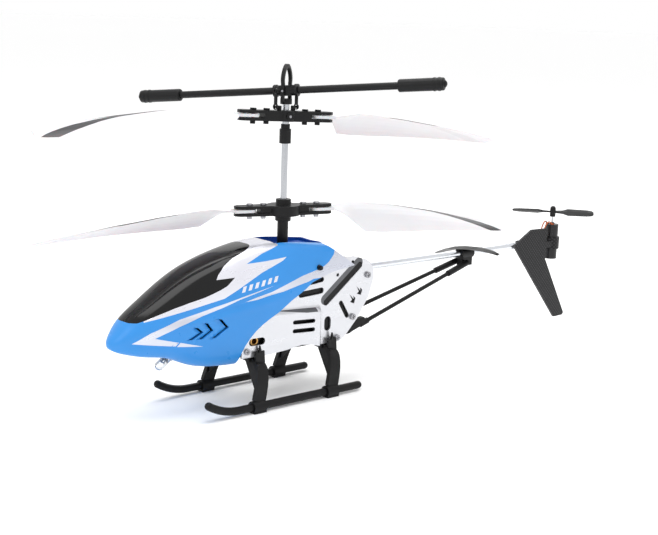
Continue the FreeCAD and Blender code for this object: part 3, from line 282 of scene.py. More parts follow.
blue_paint = (Finish("blue_paint", BLUE, 0.32, coat=0.15, Coat_Roughness=0.15,
                     Specular_IOR_Level=0.3)
              .vary_colour(60, 0.025).vary_rough(220, 0.05).grain(1500, 0.01, strength=0.3))
roof_shade_finish = (Finish("roof_painted_shade", ROOF_SHADE_BLUE, 0.4, Specular_IOR_Level=0.3)
             .vary_colour(80, 0.05).vary_rough(240, 0.06).grain(1500, 0.01, strength=0.3))
silver_foil = (Finish("silver_foil", srgb(222, 222, 230), 0.3, metal=0.6)
               .vary_colour(90, 0.02).vary_rough(300, 0.06, (1, 0.2, 1))
               .grain(2600, 0.006, strength=0.3))
grey_foil = (Finish("grey_foil", srgb(200, 203, 214), 0.32, metal=0.6)
             .vary_colour(90, 0.02).vary_rough(300, 0.06, (1, 0.2, 1))
             .grain(2600, 0.006, strength=0.3))
windscreen_gloss = (Finish("windscreen_gloss", srgb(8, 8, 9), 0.12, Specular_IOR_Level=0.3)
                    .vary_colour(70, 0.08).vary_rough(180, 0.03).grain(900, 0.004, strength=0.2))
black_plastic = (Finish("moulded_black", srgb(15, 15, 16), 0.4, **LOW_SHEEN)
                 .vary_colour(160, 0.12).vary_rough(320, 0.08).grain(2600, 0.02, strength=0.4))
leg_plastic = (Finish("leg_black", srgb(13, 13, 14), 0.46, **LOW_SHEEN)
               .vary_colour(160, 0.15).vary_rough(300, 0.08).grain(1800, 0.03, strength=0.5))
plate_metal = (Finish("plate_metal", srgb(204, 205, 209), 0.3, metal=0.85)
               .vary_colour(50, 0.015).vary_rough(500, 0.06, (1, 0.15, 1))
               .grain(2400, 0.006, (1, 0.1, 1), 0.3))
# painted shade: a darker metal laid on the rail's lip and the step under the pressed panel where the
# plate falls into shade
plate_painted_shade = (Finish("plate_painted_shade", srgb(96, 97, 100), 0.36, metal=0.9)
              .vary_colour(80, 0.1).vary_rough(400, 0.08).grain(2400, 0.006))
screw_steel = (Finish("screw_steel", srgb(150, 150, 154), 0.24, metal=1.0)
               .vary_colour(900, 0.1).vary_rough(1200, 0.08).grain(5000, 0.004))
brass = (Finish("brass", srgb(190, 148, 88), 0.28, metal=1.0)
         .vary_colour(700, 0.1).vary_rough(900, 0.08).grain(4000, 0.004))
motor_steel = (Finish("motor_steel", srgb(140, 140, 144), 0.34, metal=1.0)
               .vary_colour(250, 0.06).vary_rough(600, 0.08, (1, 1, 0.1))
               .grain(3000, 0.006, (1, 1, 0.1)))
shaft_steel = (Finish("shaft_steel", srgb(176, 178, 182), 0.2, metal=1.0)
               .vary_colour(300, 0.05, (1, 1, 0.1)).vary_rough(900, 0.06, (1, 1, 0.1))
               .grain(4000, 0.003))
boom_metal = (Finish("boom_aluminium", srgb(216, 219, 224), 0.2, metal=1.0)
              .vary_colour(200, 0.03, (1, 0.05, 1)).vary_rough(900, 0.07, (1, 0.05, 1))
              .grain(4000, 0.004, (1, 0.05, 1)))
battery_wrap = (Finish("battery_wrap", srgb(130, 138, 150), 0.35, metal=0.3)
                .vary_colour(200, 0.06).vary_rough(300, 0.1).grain(500, 0.05))
board_green = (Finish("board_green", srgb(20, 80, 44), 0.4)
               .vary_colour(400, 0.2).vary_rough(400, 0.1).grain(1500, 0.02))
gear_plastic = (Finish("gear_white", srgb(205, 205, 200), 0.38, Subsurface_Weight=0.1)
                .vary_colour(200, 0.03).vary_rough(500, 0.08).grain(2200, 0.012))
tail_motor_black = (Finish("tail_motor_black", srgb(18, 18, 20), 0.3, Specular_IOR_Level=0.35)
                    .vary_colour(250, 0.1).vary_rough(500, 0.08).grain(2500, 0.008))
copper = (Finish("copper", srgb(180, 100, 66), 0.3, metal=1.0)
          .vary_colour(900, 0.15).vary_rough(900, 0.1).grain(4000, 0.006))
bolt_black = (Finish("bolt_black", srgb(22, 22, 24), 0.3, metal=0.4, **LOW_SHEEN)
              .vary_colour(900, 0.15).vary_rough(900, 0.1).grain(4000, 0.006))
lens_clear = (Finish("lens_clear", srgb(246, 248, 250), 0.06, Transmission_Weight=0.85, IOR=1.49)
              .vary_rough(500, 0.04).grain(1200, 0.006, strength=0.2))


def carbon_finish():
    """Black moulded sheet with the cross weave of carbon cloth pressed into it."""
    made = Finish("fin_carbon", srgb(30, 30, 32), 0.4, **LOW_SHEEN)
    turn = (math.radians(45), 0, 0)
    waves = []
    for direction in ("Y", "Z"):
        wave = made.node("ShaderNodeTexWave", wave_type="BANDS", bands_direction=direction,
                         Scale=260.0)
        wave.inputs["Distortion"].default_value = 0.6
        made.link(made.coords((1, 1, 1), turn), wave.inputs["Vector"])
        waves.append(wave.outputs["Fac"])
    weave = made.node("ShaderNodeMath", operation="MULTIPLY")
    made.link(waves[0], weave.inputs[0])
    made.link(waves[1], weave.inputs[1])
    colour = made.mix(weave.outputs[0], srgb(14, 14, 15), srgb(52, 52, 55))
    made.link(colour, made.shader.inputs["Base Color"])
    bump = made.node("ShaderNodeBump", Strength=0.6, Distance=0.06 * MM)
    made.link(weave.outputs[0], bump.inputs["Height"])
    made.link(bump.outputs["Normal"], made.shader.inputs["Normal"])
    return made.vary_rough(900, 0.1)


fin_carbon = carbon_finish()

# The dark flash on each blade: radius, then where its two edges lie across the chord, in mm.
BLADE_FLASH = [
    (42, 5.0, 5.7), (50, 4.5, 5.8), (58, 3.8, 5.8), (65, 2.5, 5.0), (71, 0.7, 3.6), (77, -1.6, 1.9),
    (83, -3.8, 0.2), (88, -5.6, -1.6), (92, -6.6, -3.2), (95, -6.8, -4.6),
]
BLADE_FORK = [(56, 5.0, 5.6), (62, 4.8, 5.7), (68, 4.5, 5.4), (74, 4.5, 4.9), (79, 4.4, 4.6)]


def blade_finish(name, azimuth, leading_side):
    """White translucent plastic with a dark curved flash that sweeps to the tip."""
    made = Finish(name, srgb(203, 204, 207), 0.32, Subsurface_Weight=0.15, Subsurface_Scale=0.002)
    where = made.node("ShaderNodeTexCoord")
    turned = made.node("ShaderNodeVectorRotate", rotation_type="Z_AXIS",
                       Angle=-math.radians(azimuth))
    turned.inputs["Center"].default_value = (0, MAST_Y, 0)
    made.link(where.outputs["Object"], turned.inputs["Vector"])
    parts = made.node("ShaderNodeSeparateXYZ")
    made.link(turned.outputs["Vector"], parts.inputs["Vector"])
    across = made.math("SUBTRACT", parts.outputs["Y"], MAST_Y)
    across = made.math("MULTIPLY", across, leading_side / MM)
    radius = made.math("MULTIPLY", parts.outputs["X"], 1 / MM)
    flash = made.between(radius, across, BLADE_FLASH)
    fork = made.between(radius, across, BLADE_FORK)
    facing = made.node("ShaderNodeSeparateXYZ")
    made.link(where.outputs["Normal"], facing.inputs["Vector"])
    printed = made.math("MAXIMUM", made.math("GREATER_THAN", facing.outputs["Z"], 0.0), 0.1)
    mask = made.math("MULTIPLY", made.math("MAXIMUM", flash, fork), printed)
    pattern = made.spread(made.noise(90, 3.0), 0, 1)
    white = made.mix(pattern, shaded(made.colour, 0.985), shaded(made.colour, 1.01))
    made.link(made.mix(mask, white, srgb(30, 30, 34)), made.shader.inputs["Base Color"])
    return made.vary_rough(120, 0.03).grain(1600, 0.003, strength=0.15)


blade_finishes = {
    "lower_aft_blade": blade_finish("blade_lower_aft", 73.6, 1),
    "lower_forward_blade": blade_finish("blade_lower_forward", 253.6, 1),
    "upper_aft_blade": blade_finish("blade_upper_aft", 79.0, -1),
    "upper_forward_blade": blade_finish("blade_upper_forward", 259.0, -1),
}

SLOT_FINISH = {
    "black_plastic": black_plastic,
    "white_metal": plate_metal,
    "screw_steel": screw_steel,
    "brass_metal": brass,
    "motor_steel": motor_steel,
    "battery_wrap": battery_wrap,
    "board_green": board_green,
    "leg_black": leg_plastic,
    "boom_aluminium": boom_metal,
    "fin_carbon": fin_carbon,
    "tail_motor_black": tail_motor_black,
    "copper_wire": copper,
    "gear_white": gear_plastic,
    "shaft_steel": shaft_steel,
    "bolt_black": bolt_black,
    "lamp_clear": lens_clear,
    "canopy_blue": blue_paint,
    "windscreen_black": windscreen_gloss,
}


def dress_nodes():
    """Gives every CAD node the finish of its record's material slot."""
    slots = {part["node"]: part["material_slot"] for part in frame["record"]["subparts"]}
    for name, node in NODES.items():
        finish = blade_finishes.get(name) or SLOT_FINISH[slots[name]]
        node.data.materials.clear()
        node.data.materials.append(finish.material)


dress_nodes()

# ---------------------------------------------------------------- canopy

# Each section: y, then (x, z) round the port half from the belly to the crown, in millimetres.
CANOPY_SECTIONS = [
    (-74.0, [(0, 27.0), (2.5, 27.2), (3.7, 28.4), (4.2, 30.2), (3.6, 32.1), (2.1, 33.2), (0, 33.6)]),
    (-70.0, [(0, 25.6), (4.0, 26.0), (6.0, 27.9), (6.8, 31.2), (6.2, 34.8), (3.9, 37.2), (0, 38.1)]),
    (-62.0, [(0, 23.8), (5.4, 24.3), (8.3, 27.2), (9.5, 32.4), (8.8, 38.2), (5.8, 42.2), (0, 43.7)]),
    (-54.0, [(0, 22.2), (6.3, 22.8), (9.9, 26.6), (11.3, 33.6), (10.4, 41.6), (6.8, 47.0), (0, 48.9)]),
    (-46.0, [(0, 18.9), (6.6, 19.5), (10.7, 24.6), (12.3, 34.9), (11.2, 45.0), (7.3, 51.3), (0, 53.2)]),
    (-36.0, [(0, 17.0), (7.0, 17.5), (11.2, 23.2), (13.0, 36.3), (11.8, 47.8), (7.7, 55.0), (0, 56.9)]),
    (-24.0, [(0, 16.3), (7.2, 16.8), (11.5, 22.6), (13.4, 37.8), (12.0, 50.0), (8.1, 58.0), (0, 59.6)]),
    (-12.0, [(0, 16.0), (7.2, 16.5), (11.5, 22.5), (13.5, 39.2), (12.1, 51.4), (8.5, 59.7), (0, 60.8)]),
    (0.0, [(0, 16.0), (7.2, 16.5), (11.5, 22.5), (13.4, 40.4), (12.1, 51.4), (8.9, 59.3), (0, 60.1)]),
    (13.0, [(0, 16.0), (7.2, 16.5), (11.5, 22.5), (13.1, 41.4), (12.0, 50.8), (9.3, 57.8), (0, 58.6)]),
    (29.0, [(0, 16.0), (7.2, 16.5), (11.5, 22.5), (12.6, 42.6), (11.9, 50.2), (10.0, 56.0), (0, 57.0)]),
]
NOSE_Y = -76.3
NOSE_Z = 29.5
CANOPY_ROWS = 130
CANOPY_RING = 52
CANOPY_WALL = 0.9
WINDSCREEN_WALL = 0.9

# A soft crease runs along each flank: (y, z) of its line, and how it stands out.
BELT_LINE = [
    (-60.0, 35.2), (-51.0, 36.6), (-46.0, 37.3), (-36.0, 38.3), (-30.0, 39.1), (-15.0, 41.5),
    (-4.0, 43.0),
]
BELT_DEPTH = 0.34
BELT_REACH = 1.5
BELT_FADE = 9

# Side-view outlines (y, z).  The big regions run well past the canopy's top, bottom or rear.
REAR_OPENING = [
    (13.2, 66.0), (13.2, 58.6), (15.4, 57.4), (20.1, 54.0), (26.8, 49.4), (19.6, 48.4), (14.8, 47.8),
    (10.9, 46.9), (5.0, 45.2), (1.6, 43.0), (-5.8, 39.2), (-11.2, 35.8),
    (-15.2, 33.9), (-18.6, 32.0), (-21.6, 29.8), (-24.0, 27.2), (-25.6, 24.6), (-26.4, 22.2),
    (-26.8, 19.0), (-27.0, 10.0), (60.0, 10.0), (60.0, 66.0),
]
WINDSCREEN = [
    (-78.0, 44.0), (-71.8, 37.8), (-70.0, 37.4), (-68.0, 37.5), (-65.9, 38.2), (-60.4, 40.2),
    (-55.1, 42.0), (-49.5, 43.5), (-43.6, 44.8), (-40.2, 45.8), (-37.0, 46.8), (-34.0, 48.0),
    (-30.4, 50.6), (-38.0, 50.4), (-36.8, 52.0), (-33.4, 54.8), (-29.4, 56.8), (-24.6, 58.4),
    (-14.6, 61.6), (-14.6, 70.0), (-78.0, 70.0),
]
LIGHTNING = [
    (-66.0, 37.8), (-53.6, 40.4), (-43.2, 42.4), (-35.7, 43.7), (-29.7, 46.2), (-18.6, 51.2),
    (-8.6, 54.6), (-6.6, 55.8), (-16.0, 55.1), (-24.6, 54.8), (-17.1, 57.8), (-8.6, 60.0), (-9.3, 70.0),
    (-14.6, 70.0), (-14.6, 61.6), (-40.0, 62.0), (-66.0, 50.0),
]
STRIPES = [
    [(-70.5, 30.6), (-64.6, 33.9), (-53.8, 38.0), (-39.2, 41.2), (-35.7, 41.8), (-29.1, 43.1),
     (-20.9, 44.6), (-13.3, 46.0), (-21.0, 44.2), (-29.2, 42.5), (-35.7, 40.6), (-44.7, 38.4),
     (-53.9, 35.6), (-62.8, 32.0), (-54.8, 29.9), (-56.5, 28.6)],
    [(-55.5, 30.0), (-53.9, 29.7), (-54.9, 28.4), (-56.1, 28.5)],
    [(-53.3, 29.6), (-44.0, 27.0), (-54.4, 28.1)],
    [(-26.7, 41.3), (-21.2, 42.5), (-14.9, 43.6), (-11.9, 44.5), (-5.3, 46.5), (0.2, 48.1), (8.2, 49.7),
     (11.4, 50.7), (13.7, 52.0), (16.5, 54.5), (18.4, 58.0), (40.0, 58.0), (40.0, 46.4), (5.4, 46.4),
     (2.7, 45.6), (-1.5, 44.9), (-9.5, 43.2), (-14.9, 42.6), (-21.2, 41.6)],
]
# A row of slanted bars, a plain pattern where the real toy carries lettering.
BAR_START = (-28.2, 44.9)
BAR_STEP = (2.9, 0.44)
BAR_RISE = (0.9, 2.1)
BAR_WIDTH = 1.5
BAR_SKEW = 0.2
BAR_COUNT = 6
VENTS = [
    [(-46.8, 34.4), (-44.4, 32.4), (-48.6, 30.1)],
    [(-42.8, 35.6), (-40.3, 32.6), (-44.5, 30.0)],
    [(-37.1, 36.4), (-33.8, 33.0), (-39.1, 29.7)],
]
VENT_SLIT = 0.9
VENT_BANDS = (2.6, 3.0, 3.6)
VENT_DEPTH = 0.75
ROOF_HALF = 7.0
ROOF_START = -9.5
ROOF_FLOOR = 57.6
ROOF_LOWEST_Z = 0.055
ROOF_SLACK = 0.01
ROOF_CUT_Y = 2
ROOF_CUT_Z = 60
ROOF_CUT_REACH = 0.03
ROOF_FRONT_REACH = 0.02
UPRIGHT_LIMIT = 0.3
MAST_HOLE_R = 2.7
LAMP_BASE = (0, -51.6, 21.4)
LAMP_WAY = (0, -0.8, -0.6)
LAMP_HOLE_R = 1.95
PEG_PLACE = (0, 8.5, 50.3)
PEG_HOLE_R = 1.1


def natural_spline(knots, values, where):
    """A natural cubic spline through values (knots first, any shape after), read at where."""
    count = len(knots)
    gaps = np.diff(knots)
    values = np.asarray(values, float)
    matrix = np.eye(count)
    target = np.zeros_like(values)
    for i in range(1, count - 1):
        matrix[i, i - 1:i + 2] = gaps[i - 1], 2 * (gaps[i - 1] + gaps[i]), gaps[i]
        rise = (values[i + 1] - values[i]) / gaps[i] - (values[i] - values[i - 1]) / gaps[i - 1]
        target[i] = 6 * rise
    bend = np.linalg.solve(matrix, target.reshape(count, -1)).reshape(values.shape)
    index = np.clip(np.searchsorted(knots, where, side="right") - 1, 0, count - 2)
    widen = (slice(None),) + (None,) * (values.ndim - 1)
    gap = gaps[index][widen]
    after = (where - knots[index])[widen]
    before = gap - after
    return ((bend[index] * before ** 3 + bend[index + 1] * after ** 3) / (6 * gap)
            + (values[index] / gap - bend[index] * gap / 6) * before
            + (values[index + 1] / gap - bend[index + 1] * gap / 6) * after)


def belt_push(x, y, z):
    """How far the flank stands out over its crease line: a ridge with a hollow above it."""
    ys, zs = zip(*BELT_LINE)
    if y < ys[0] or y > ys[-1] or x < 4:
        return 0.0
    fade = min((y - ys[0]) / BELT_FADE, (ys[-1] - y) / BELT_FADE, 1.0)
    above = (z - np.interp(y, ys, zs)) / BELT_REACH
    ridge = math.exp(-(above + 0.55) ** 2) - 1.1 * math.exp(-(above - 0.75) ** 2)
    return BELT_DEPTH * fade * ridge


def canopy_rings():
    """Rings of points round the canopy, from just behind the nose to the rear."""
    ys = np.array([NOSE_Y] + [y for y, half in CANOPY_SECTIONS])
    points = np.array([[(0, NOSE_Z)] * 7] + [half for y, half in CANOPY_SECTIONS], float)
    spread = np.sqrt(ys - NOSE_Y)
    where = np.linspace(0, spread[-1], CANOPY_ROWS + 1)[1:]
    rings = []
    for step, half in zip(where, natural_spline(spread, points, where)):
        mirrored = half * (-1, 1)
        loop = np.concatenate([mirrored[:0:-1], half, mirrored[-2::-1]])
        lengths = np.hypot(*np.diff(loop, axis=0).T) ** 0.75
        knots = np.concatenate([[0], np.cumsum(lengths)])
        port = natural_spline(knots, loop, np.linspace(knots[6], knots[12], CANOPY_RING))
        y = NOSE_Y + step ** 2
        port = [(x + belt_push(x, y, z), z) for x, z in port]
        port[0], port[-1] = (0, port[0][1]), (0, port[-1][1])
        starboard = [(-x, z) for x, z in port[-2:0:-1]]
        rings.append([place(x, y, z) for x, z in port + starboard])
    return rings


def canopy_skin():
    """The canopy's outer surface as one closed-nosed sheet."""
    skin = bmesh.new()
    tip = skin.verts.new(place(0, NOSE_Y, NOSE_Z))
    rows = [[skin.verts.new(point) for point in ring] for ring in canopy_rings()]
    count = len(rows[0])
    for i in range(count):
        skin.faces.new((tip, rows[0][i], rows[0][(i + 1) % count]))
    for near, far in zip(rows, rows[1:]):
        for i in range(count):
            j = (i + 1) % count
            skin.faces.new((near[i], far[i], far[j], near[j]))
    bmesh.ops.recalc_face_normals(skin, faces=skin.faces)
    return skin


CUT_TOLERANCE = 1e-7
SCORE_MARGIN = 0.9


def cut_faces(skin, faces, point, normal):
    """Cuts the given faces along one plane."""
    edges = {edge for face in faces for edge in face.edges}
    verts = {vert for face in faces for vert in face.verts}
    bmesh.ops.bisect_plane(skin, geom=faces + list(edges) + list(verts), dist=CUT_TOLERANCE,
                           plane_co=point, plane_no=normal)


def local_cut(skin, point, normal, centre, reach, test=None):
    """Cuts the faces within reach of centre along one plane."""
    faces = [f for f in skin.faces if (f.calc_center_median() - centre).length < reach]
    if test is not None:
        faces = [f for f in faces if test(f)]
    cut_faces(skin, faces, point, normal)


def score_side(skin, outline):
    """Cuts the skin along a side-view outline, so each face lies wholly inside or outside it."""
    for (y0, z0), (y1, z1) in zip(outline, outline[1:] + outline[:1]):
        start, end = place(0, y0, z0), place(0, y1, z1)
        low = [min(start[k], end[k]) - SCORE_MARGIN * MM for k in (1, 2)]
        high = [max(start[k], end[k]) + SCORE_MARGIN * MM for k in (1, 2)]
        faces = []
        for face in skin.faces:
            c = face.calc_center_median()
            if low[0] < c.y < high[0] and low[1] < c.z < high[1]:
                faces.append(face)
        if not faces:
            continue
        normal = Vector((0, -(end.z - start.z), end.y - start.y)).normalized()
        cut_faces(skin, faces, start, normal)


def inside(outline, y, z):
    """Whether a side-view point in millimetres lies inside an outline."""
    odd = False
    for (y0, z0), (y1, z1) in zip(outline, outline[1:] + outline[:1]):
        if (z0 > z) != (z1 > z) and y < (y1 - y0) * (z - z0) / (z1 - z0) + y0:
            odd = not odd
    return odd


def side_point(face):
    """A face's middle in side view, in millimetres round the mast."""
    c = face.calc_center_median()
    return (c.y - MAST_Y) / MM, c.z / MM


def faces_inside(skin, outlines, test=lambda face: True):
    found = []
    for face in skin.faces:
        y, z = side_point(face)
        if test(face) and any(inside(outline, y, z) for outline in outlines):
            found.append(face)
    return found


def punch(skin, centre, axis, radius, half_length, sides=28):
    """Makes a round hole through the skin near centre."""
    axis = Vector(axis).normalized()
    across = axis.orthogonal().normalized()
    for step in range(sides):
        way = Matrix.Rotation(2 * math.pi * step / sides, 3, axis) @ across
        local_cut(skin, centre + way * radius * MM, way, centre, half_length * MM)
    gone = []
    for face in skin.faces:
        offset = face.calc_center_median() - centre
        along = offset.dot(axis)
        if abs(along) < half_length * MM and (offset - axis * along).length < radius * MM * 0.999:
            gone.append(face)
    bmesh.ops.delete(skin, geom=gone, context="FACES")


def vent_outline(corners, near, far):
    """The part of an arrow between near and far millimetres in front of its rear edge."""
    return ([(y - near, z) for y, z in corners] + [(y - far, z) for y, z in reversed(corners)])


def sink_vents(skin):
    """Slopes the skin inwards towards each slit, like a louvre."""
    for corners, band in zip(VENTS, VENT_BANDS):
        tops = sorted((z, y) for y, z in corners)
        heights, edges = [z for z, y in tops], [y for z, y in tops]
        sloped = faces_inside(skin, [vent_outline(corners, VENT_SLIT, band)])
        for vert in {v for face in sloped for v in face.verts}:
            y, z = (vert.co.y - MAST_Y) / MM, vert.co.z / MM
            back = np.interp(z, heights, edges) - VENT_SLIT
            share = min(max(1 - (back - y) / (band - VENT_SLIT), 0), 1)
            vert.co.x -= math.copysign(VENT_DEPTH * share * MM, vert.co.x)


def near_roof(face):
    return face.calc_center_median().z > ROOF_LOWEST_Z


def sink_roof(skin):
    """Lowers the roof between the shoulders and paints what was lowered a darker blue as painted shade.
    """
    for side in (-1, 1):
        centre = place(side * ROOF_HALF, ROOF_CUT_Y, ROOF_CUT_Z)
        local_cut(skin, centre, Vector((1, 0, 0)), centre, ROOF_CUT_REACH, near_roof)
    front = place(0, ROOF_START, ROOF_CUT_Z)
    local_cut(skin, front, Vector((0, 1, 0)), front, ROOF_FRONT_REACH, near_roof)
    roof = []
    for face in skin.faces:
        c = face.calc_center_median()
        if abs(c.x) < ROOF_HALF * MM and c.y > ROOF_START * MM + MAST_Y and c.z > ROOF_LOWEST_Z:
            roof.append(face)
    made = bmesh.ops.extrude_face_region(skin, geom=roof)
    for item in made["geom"]:
        if isinstance(item, bmesh.types.BMVert):
            item.co.z = ROOF_FLOOR * MM
    bmesh.ops.delete(skin, geom=roof, context="FACES")
    # painted shade: the sunken roof's floor and upright walls take the darker blue
    for face in skin.faces:
        if roof_shade_face(face):
            face.material_index = 3


# Picks the faces of the sunken roof, its floor and upright walls, that get the painted shade.
def roof_shade_face(face):
    c = face.calc_center_median()
    beside = abs(c.x) > (ROOF_HALF + ROOF_SLACK) * MM
    ahead = c.y < (ROOF_START - ROOF_SLACK) * MM + MAST_Y
    if beside or ahead or c.z < ROOF_LOWEST_Z:
        return False
    lowered = c.z < (ROOF_FLOOR + ROOF_SLACK) * MM
    upright = abs(face.normal.z) < UPRIGHT_LIMIT
    return lowered or upright


def mesh_object(name, skin, finishes, body):
    mesh = bpy.data.meshes.new(name)
    skin.to_mesh(mesh)
    skin.free()
    made = bpy.data.objects.new(name, mesh)
    bpy.context.scene.collection.objects.link(made)
    for finish in finishes:
        mesh.materials.append(finish.material)
    mesh.shade_smooth()
    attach(made, body)
    return made


RIM_ANGLE = math.radians(60)
SOFT_EDGE_ANGLE = math.radians(35)
WELD_DISTANCE = 1e-6


def thicken(piece, wall, rim_bevel):
    solid = piece.modifiers.new("wall", "SOLIDIFY")
    solid.thickness = wall * MM
    solid.offset = -1
    # an even offset would throw spikes into the shell where small faces meet
    solid.use_even_offset = False
    bevel = piece.modifiers.new("rim", "BEVEL")
    bevel.width = rim_bevel * MM
    bevel.segments = 2
    bevel.limit_method = "ANGLE"
    bevel.angle_limit = RIM_ANGLE
    bevel.use_clamp_overlap = True
    smooth = piece.modifiers.new("normals", "WEIGHTED_NORMAL")
    smooth.keep_sharp = True


def bar_outlines():
    outlines = []
    for index in range(BAR_COUNT):
        y = BAR_START[0] + BAR_STEP[0] * index
        z = BAR_START[1] + BAR_STEP[1] * index
        outlines.append([(y, z), (y + BAR_WIDTH, z + BAR_SKEW),
                         (y + BAR_WIDTH + BAR_RISE[0], z + BAR_SKEW + BAR_RISE[1]),
                         (y + BAR_RISE[0], z + BAR_RISE[1])])
    return outlines


def make_canopy():
    skin = canopy_skin()
    slits = [vent_outline(corners, 0, VENT_SLIT) for corners in VENTS]
    slopes = [vent_outline(corners, VENT_SLIT, band) for corners, band in zip(VENTS, VENT_BANDS)]
    bars = bar_outlines()
    for outline in [REAR_OPENING, WINDSCREEN, LIGHTNING] + STRIPES + slits + slopes + bars:
        score_side(skin, outline)
    bmesh.ops.delete(skin, geom=faces_inside(skin, [REAR_OPENING]), context="FACES")
    screen = skin.copy()
    bmesh.ops.delete(skin, geom=faces_inside(skin, [WINDSCREEN]), context="FACES")
    keep = set(faces_inside(screen, [WINDSCREEN]))
    bmesh.ops.delete(screen, geom=[f for f in screen.faces if f not in keep], context="FACES")
    for face in faces_inside(skin, [LIGHTNING] + bars):
        face.material_index = 1
    for face in faces_inside(skin, STRIPES):
        face.material_index = 2
    sink_vents(skin)
    bmesh.ops.delete(skin, geom=faces_inside(skin, slits), context="FACES")
    sink_roof(skin)
    punch(skin, place(0, 0, ROOF_FLOOR), (0, 0, 1), MAST_HOLE_R, 6)
    punch(skin, place(*LAMP_BASE), LAMP_WAY, LAMP_HOLE_R, 5)
    for side in (-1, 1):
        punch(skin, place(side * 12.2, PEG_PLACE[1], PEG_PLACE[2]), (1, 0, 0), PEG_HOLE_R, 3)
    bmesh.ops.remove_doubles(skin, verts=skin.verts, dist=WELD_DISTANCE)
    bmesh.ops.remove_doubles(screen, verts=screen.verts, dist=WELD_DISTANCE)
    paints = [blue_paint, silver_foil, grey_foil, roof_shade_finish]
    shell = mesh_object("canopy_body", skin, paints, "airframe")
    thicken(shell, CANOPY_WALL, 0.08)
    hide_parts("canopy_shell")
    glass = mesh_object("canopy_windscreen", screen, [windscreen_gloss], "airframe")
    thicken(glass, WINDSCREEN_WALL, 0.12)
    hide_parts("windscreen")


make_canopy()

# ---------------------------------------------------------------- side plates

PLATE_OUTLINE = [
    (-25.8, 19.1), (-13.4, 19.1), (-4.8, 19.8), (2.0, 20.8), (7.0, 20.1), (10.8, 19.2), (21.5, 19.2),
    (24.5, 20.6), (31.0, 27.4), (36.6, 35.6), (39.0, 43.0), (38.8, 45.4), (38.2, 47.0), (36.6, 49.2),
    (34.2, 50.6), (28.0, 52.4), (14.0, 52.0), (-2.0, 51.2), (-10.0, 48.6), (-17.0, 41.0),
    (-22.0, 33.0), (-25.8, 25.0),
]
PLATE_X = 10.0
PLATE_WALL = 0.75
PLATE_STEP = 0.6
# The lower front is pressed outwards, more and more towards its rear edge.
PRESSED_TOP = [(-24.0, 36.2), (-11.0, 35.8), (-6.5, 35.6), (8.4, 34.9), (12.0, 34.6)]
PRESSED_REAR = 11.6
PRESSED_SLOPE = 1.7
# y and rise at the front of the panel, then at its rear
PRESSED_RISE = (-20.0, 0.2, 8.0, 1.55)
# A painted shadow under the panel's top edge, a long wedge of darker metal that comes to a point at the
# front.
PRESSED_LEDGE_SHADE = [
    (-10.9, 35.3), (-6.5, 35.2), (2.0, 34.8), (9.0, 34.4), (9.0, 32.9), (4.0, 33.1), (-3.0, 34.2),
]
BEAD_Y = 10.0
BEAD_HALF = 1.0
BEAD_RISE = 0.45
# slots: start y z, end y z, width
PLATE_SLOTS = [
    (1.8, 40.1, 11.8, 40.6, 2.4), (6.6, 44.4, 12.0, 44.9, 2.0), (-1.8, 30.0, 7.2, 29.6, 1.6),
    (-1.8, 26.6, 7.2, 26.2, 1.6), (15.5, 25.8, 15.5, 28.3, 3.3), (22.0, 34.4, 25.4, 29.0, 2.0),
]
RAIL = (14.4, 35.6, 31.2, 48.6, 2.6)
RAIL_LIP = 1.5
RAIL_LIP_SHIFT = (-0.6, 1.1)
PLATE_HOLES = [(27.5, 50.2, 0.7), (19.9, 45.8, 0.7)]
HOOKS = [(31.4, 38.6), (28.0, 35.6)]
HOOK = [(-1.6, 1.8), (0.6, -0.4), (0.4, 1.0), (1.6, -0.2), (0.9, -2.2), (-1.2, -1.4), (-0.2, -0.6)]
WINDOWS = {1: (-21.1, -16.6), -1: (-21.4, -17.0)}
WINDOW_Z = 24.8
WINDOW_WIDTH = 2.8


def slot_outline(y0, z0, y1, z1, width, steps=8):
    """A round-ended slot as a side-view outline."""
    along = Vector((y1 - y0, z1 - z0)).normalized()
    start_angle = math.atan2(along.y, along.x) + math.pi / 2
    outline = []
    for (y, z), turn in (((y0, z0), 0), ((y1, z1), math.pi)):
        for step in range(steps + 1):
            angle = start_angle + turn + math.pi * step / steps
            outline.append((y + width / 2 * math.cos(angle), z + width / 2 * math.sin(angle)))
    return outline


def round_outline(y, z, radius, steps=16):
    turns = [2 * math.pi * step / steps for step in range(steps)]
    return [(y + radius * math.cos(a), z + radius * math.sin(a)) for a in turns]


def smooth_step(value):
    t = min(max(value, 0.0), 1.0)
    return t * t * (3 - 2 * t)


def plate_relief(y, z):
    """How far the plate's outer face stands beyond its flat, in millimetres."""
    ys, tops = zip(*PRESSED_TOP)
    below = np.interp(y, ys, tops) - z
    y0, low, y1, high = PRESSED_RISE
    rise = np.interp(y, (y0, y1), (low, high))
    slope = smooth_step(below / PRESSED_SLOPE)
    back = smooth_step(PRESSED_REAR - y)
    bead = BEAD_RISE * math.exp(-((y - BEAD_Y) / BEAD_HALF) ** 2) * slope
    return rise * slope * back + bead


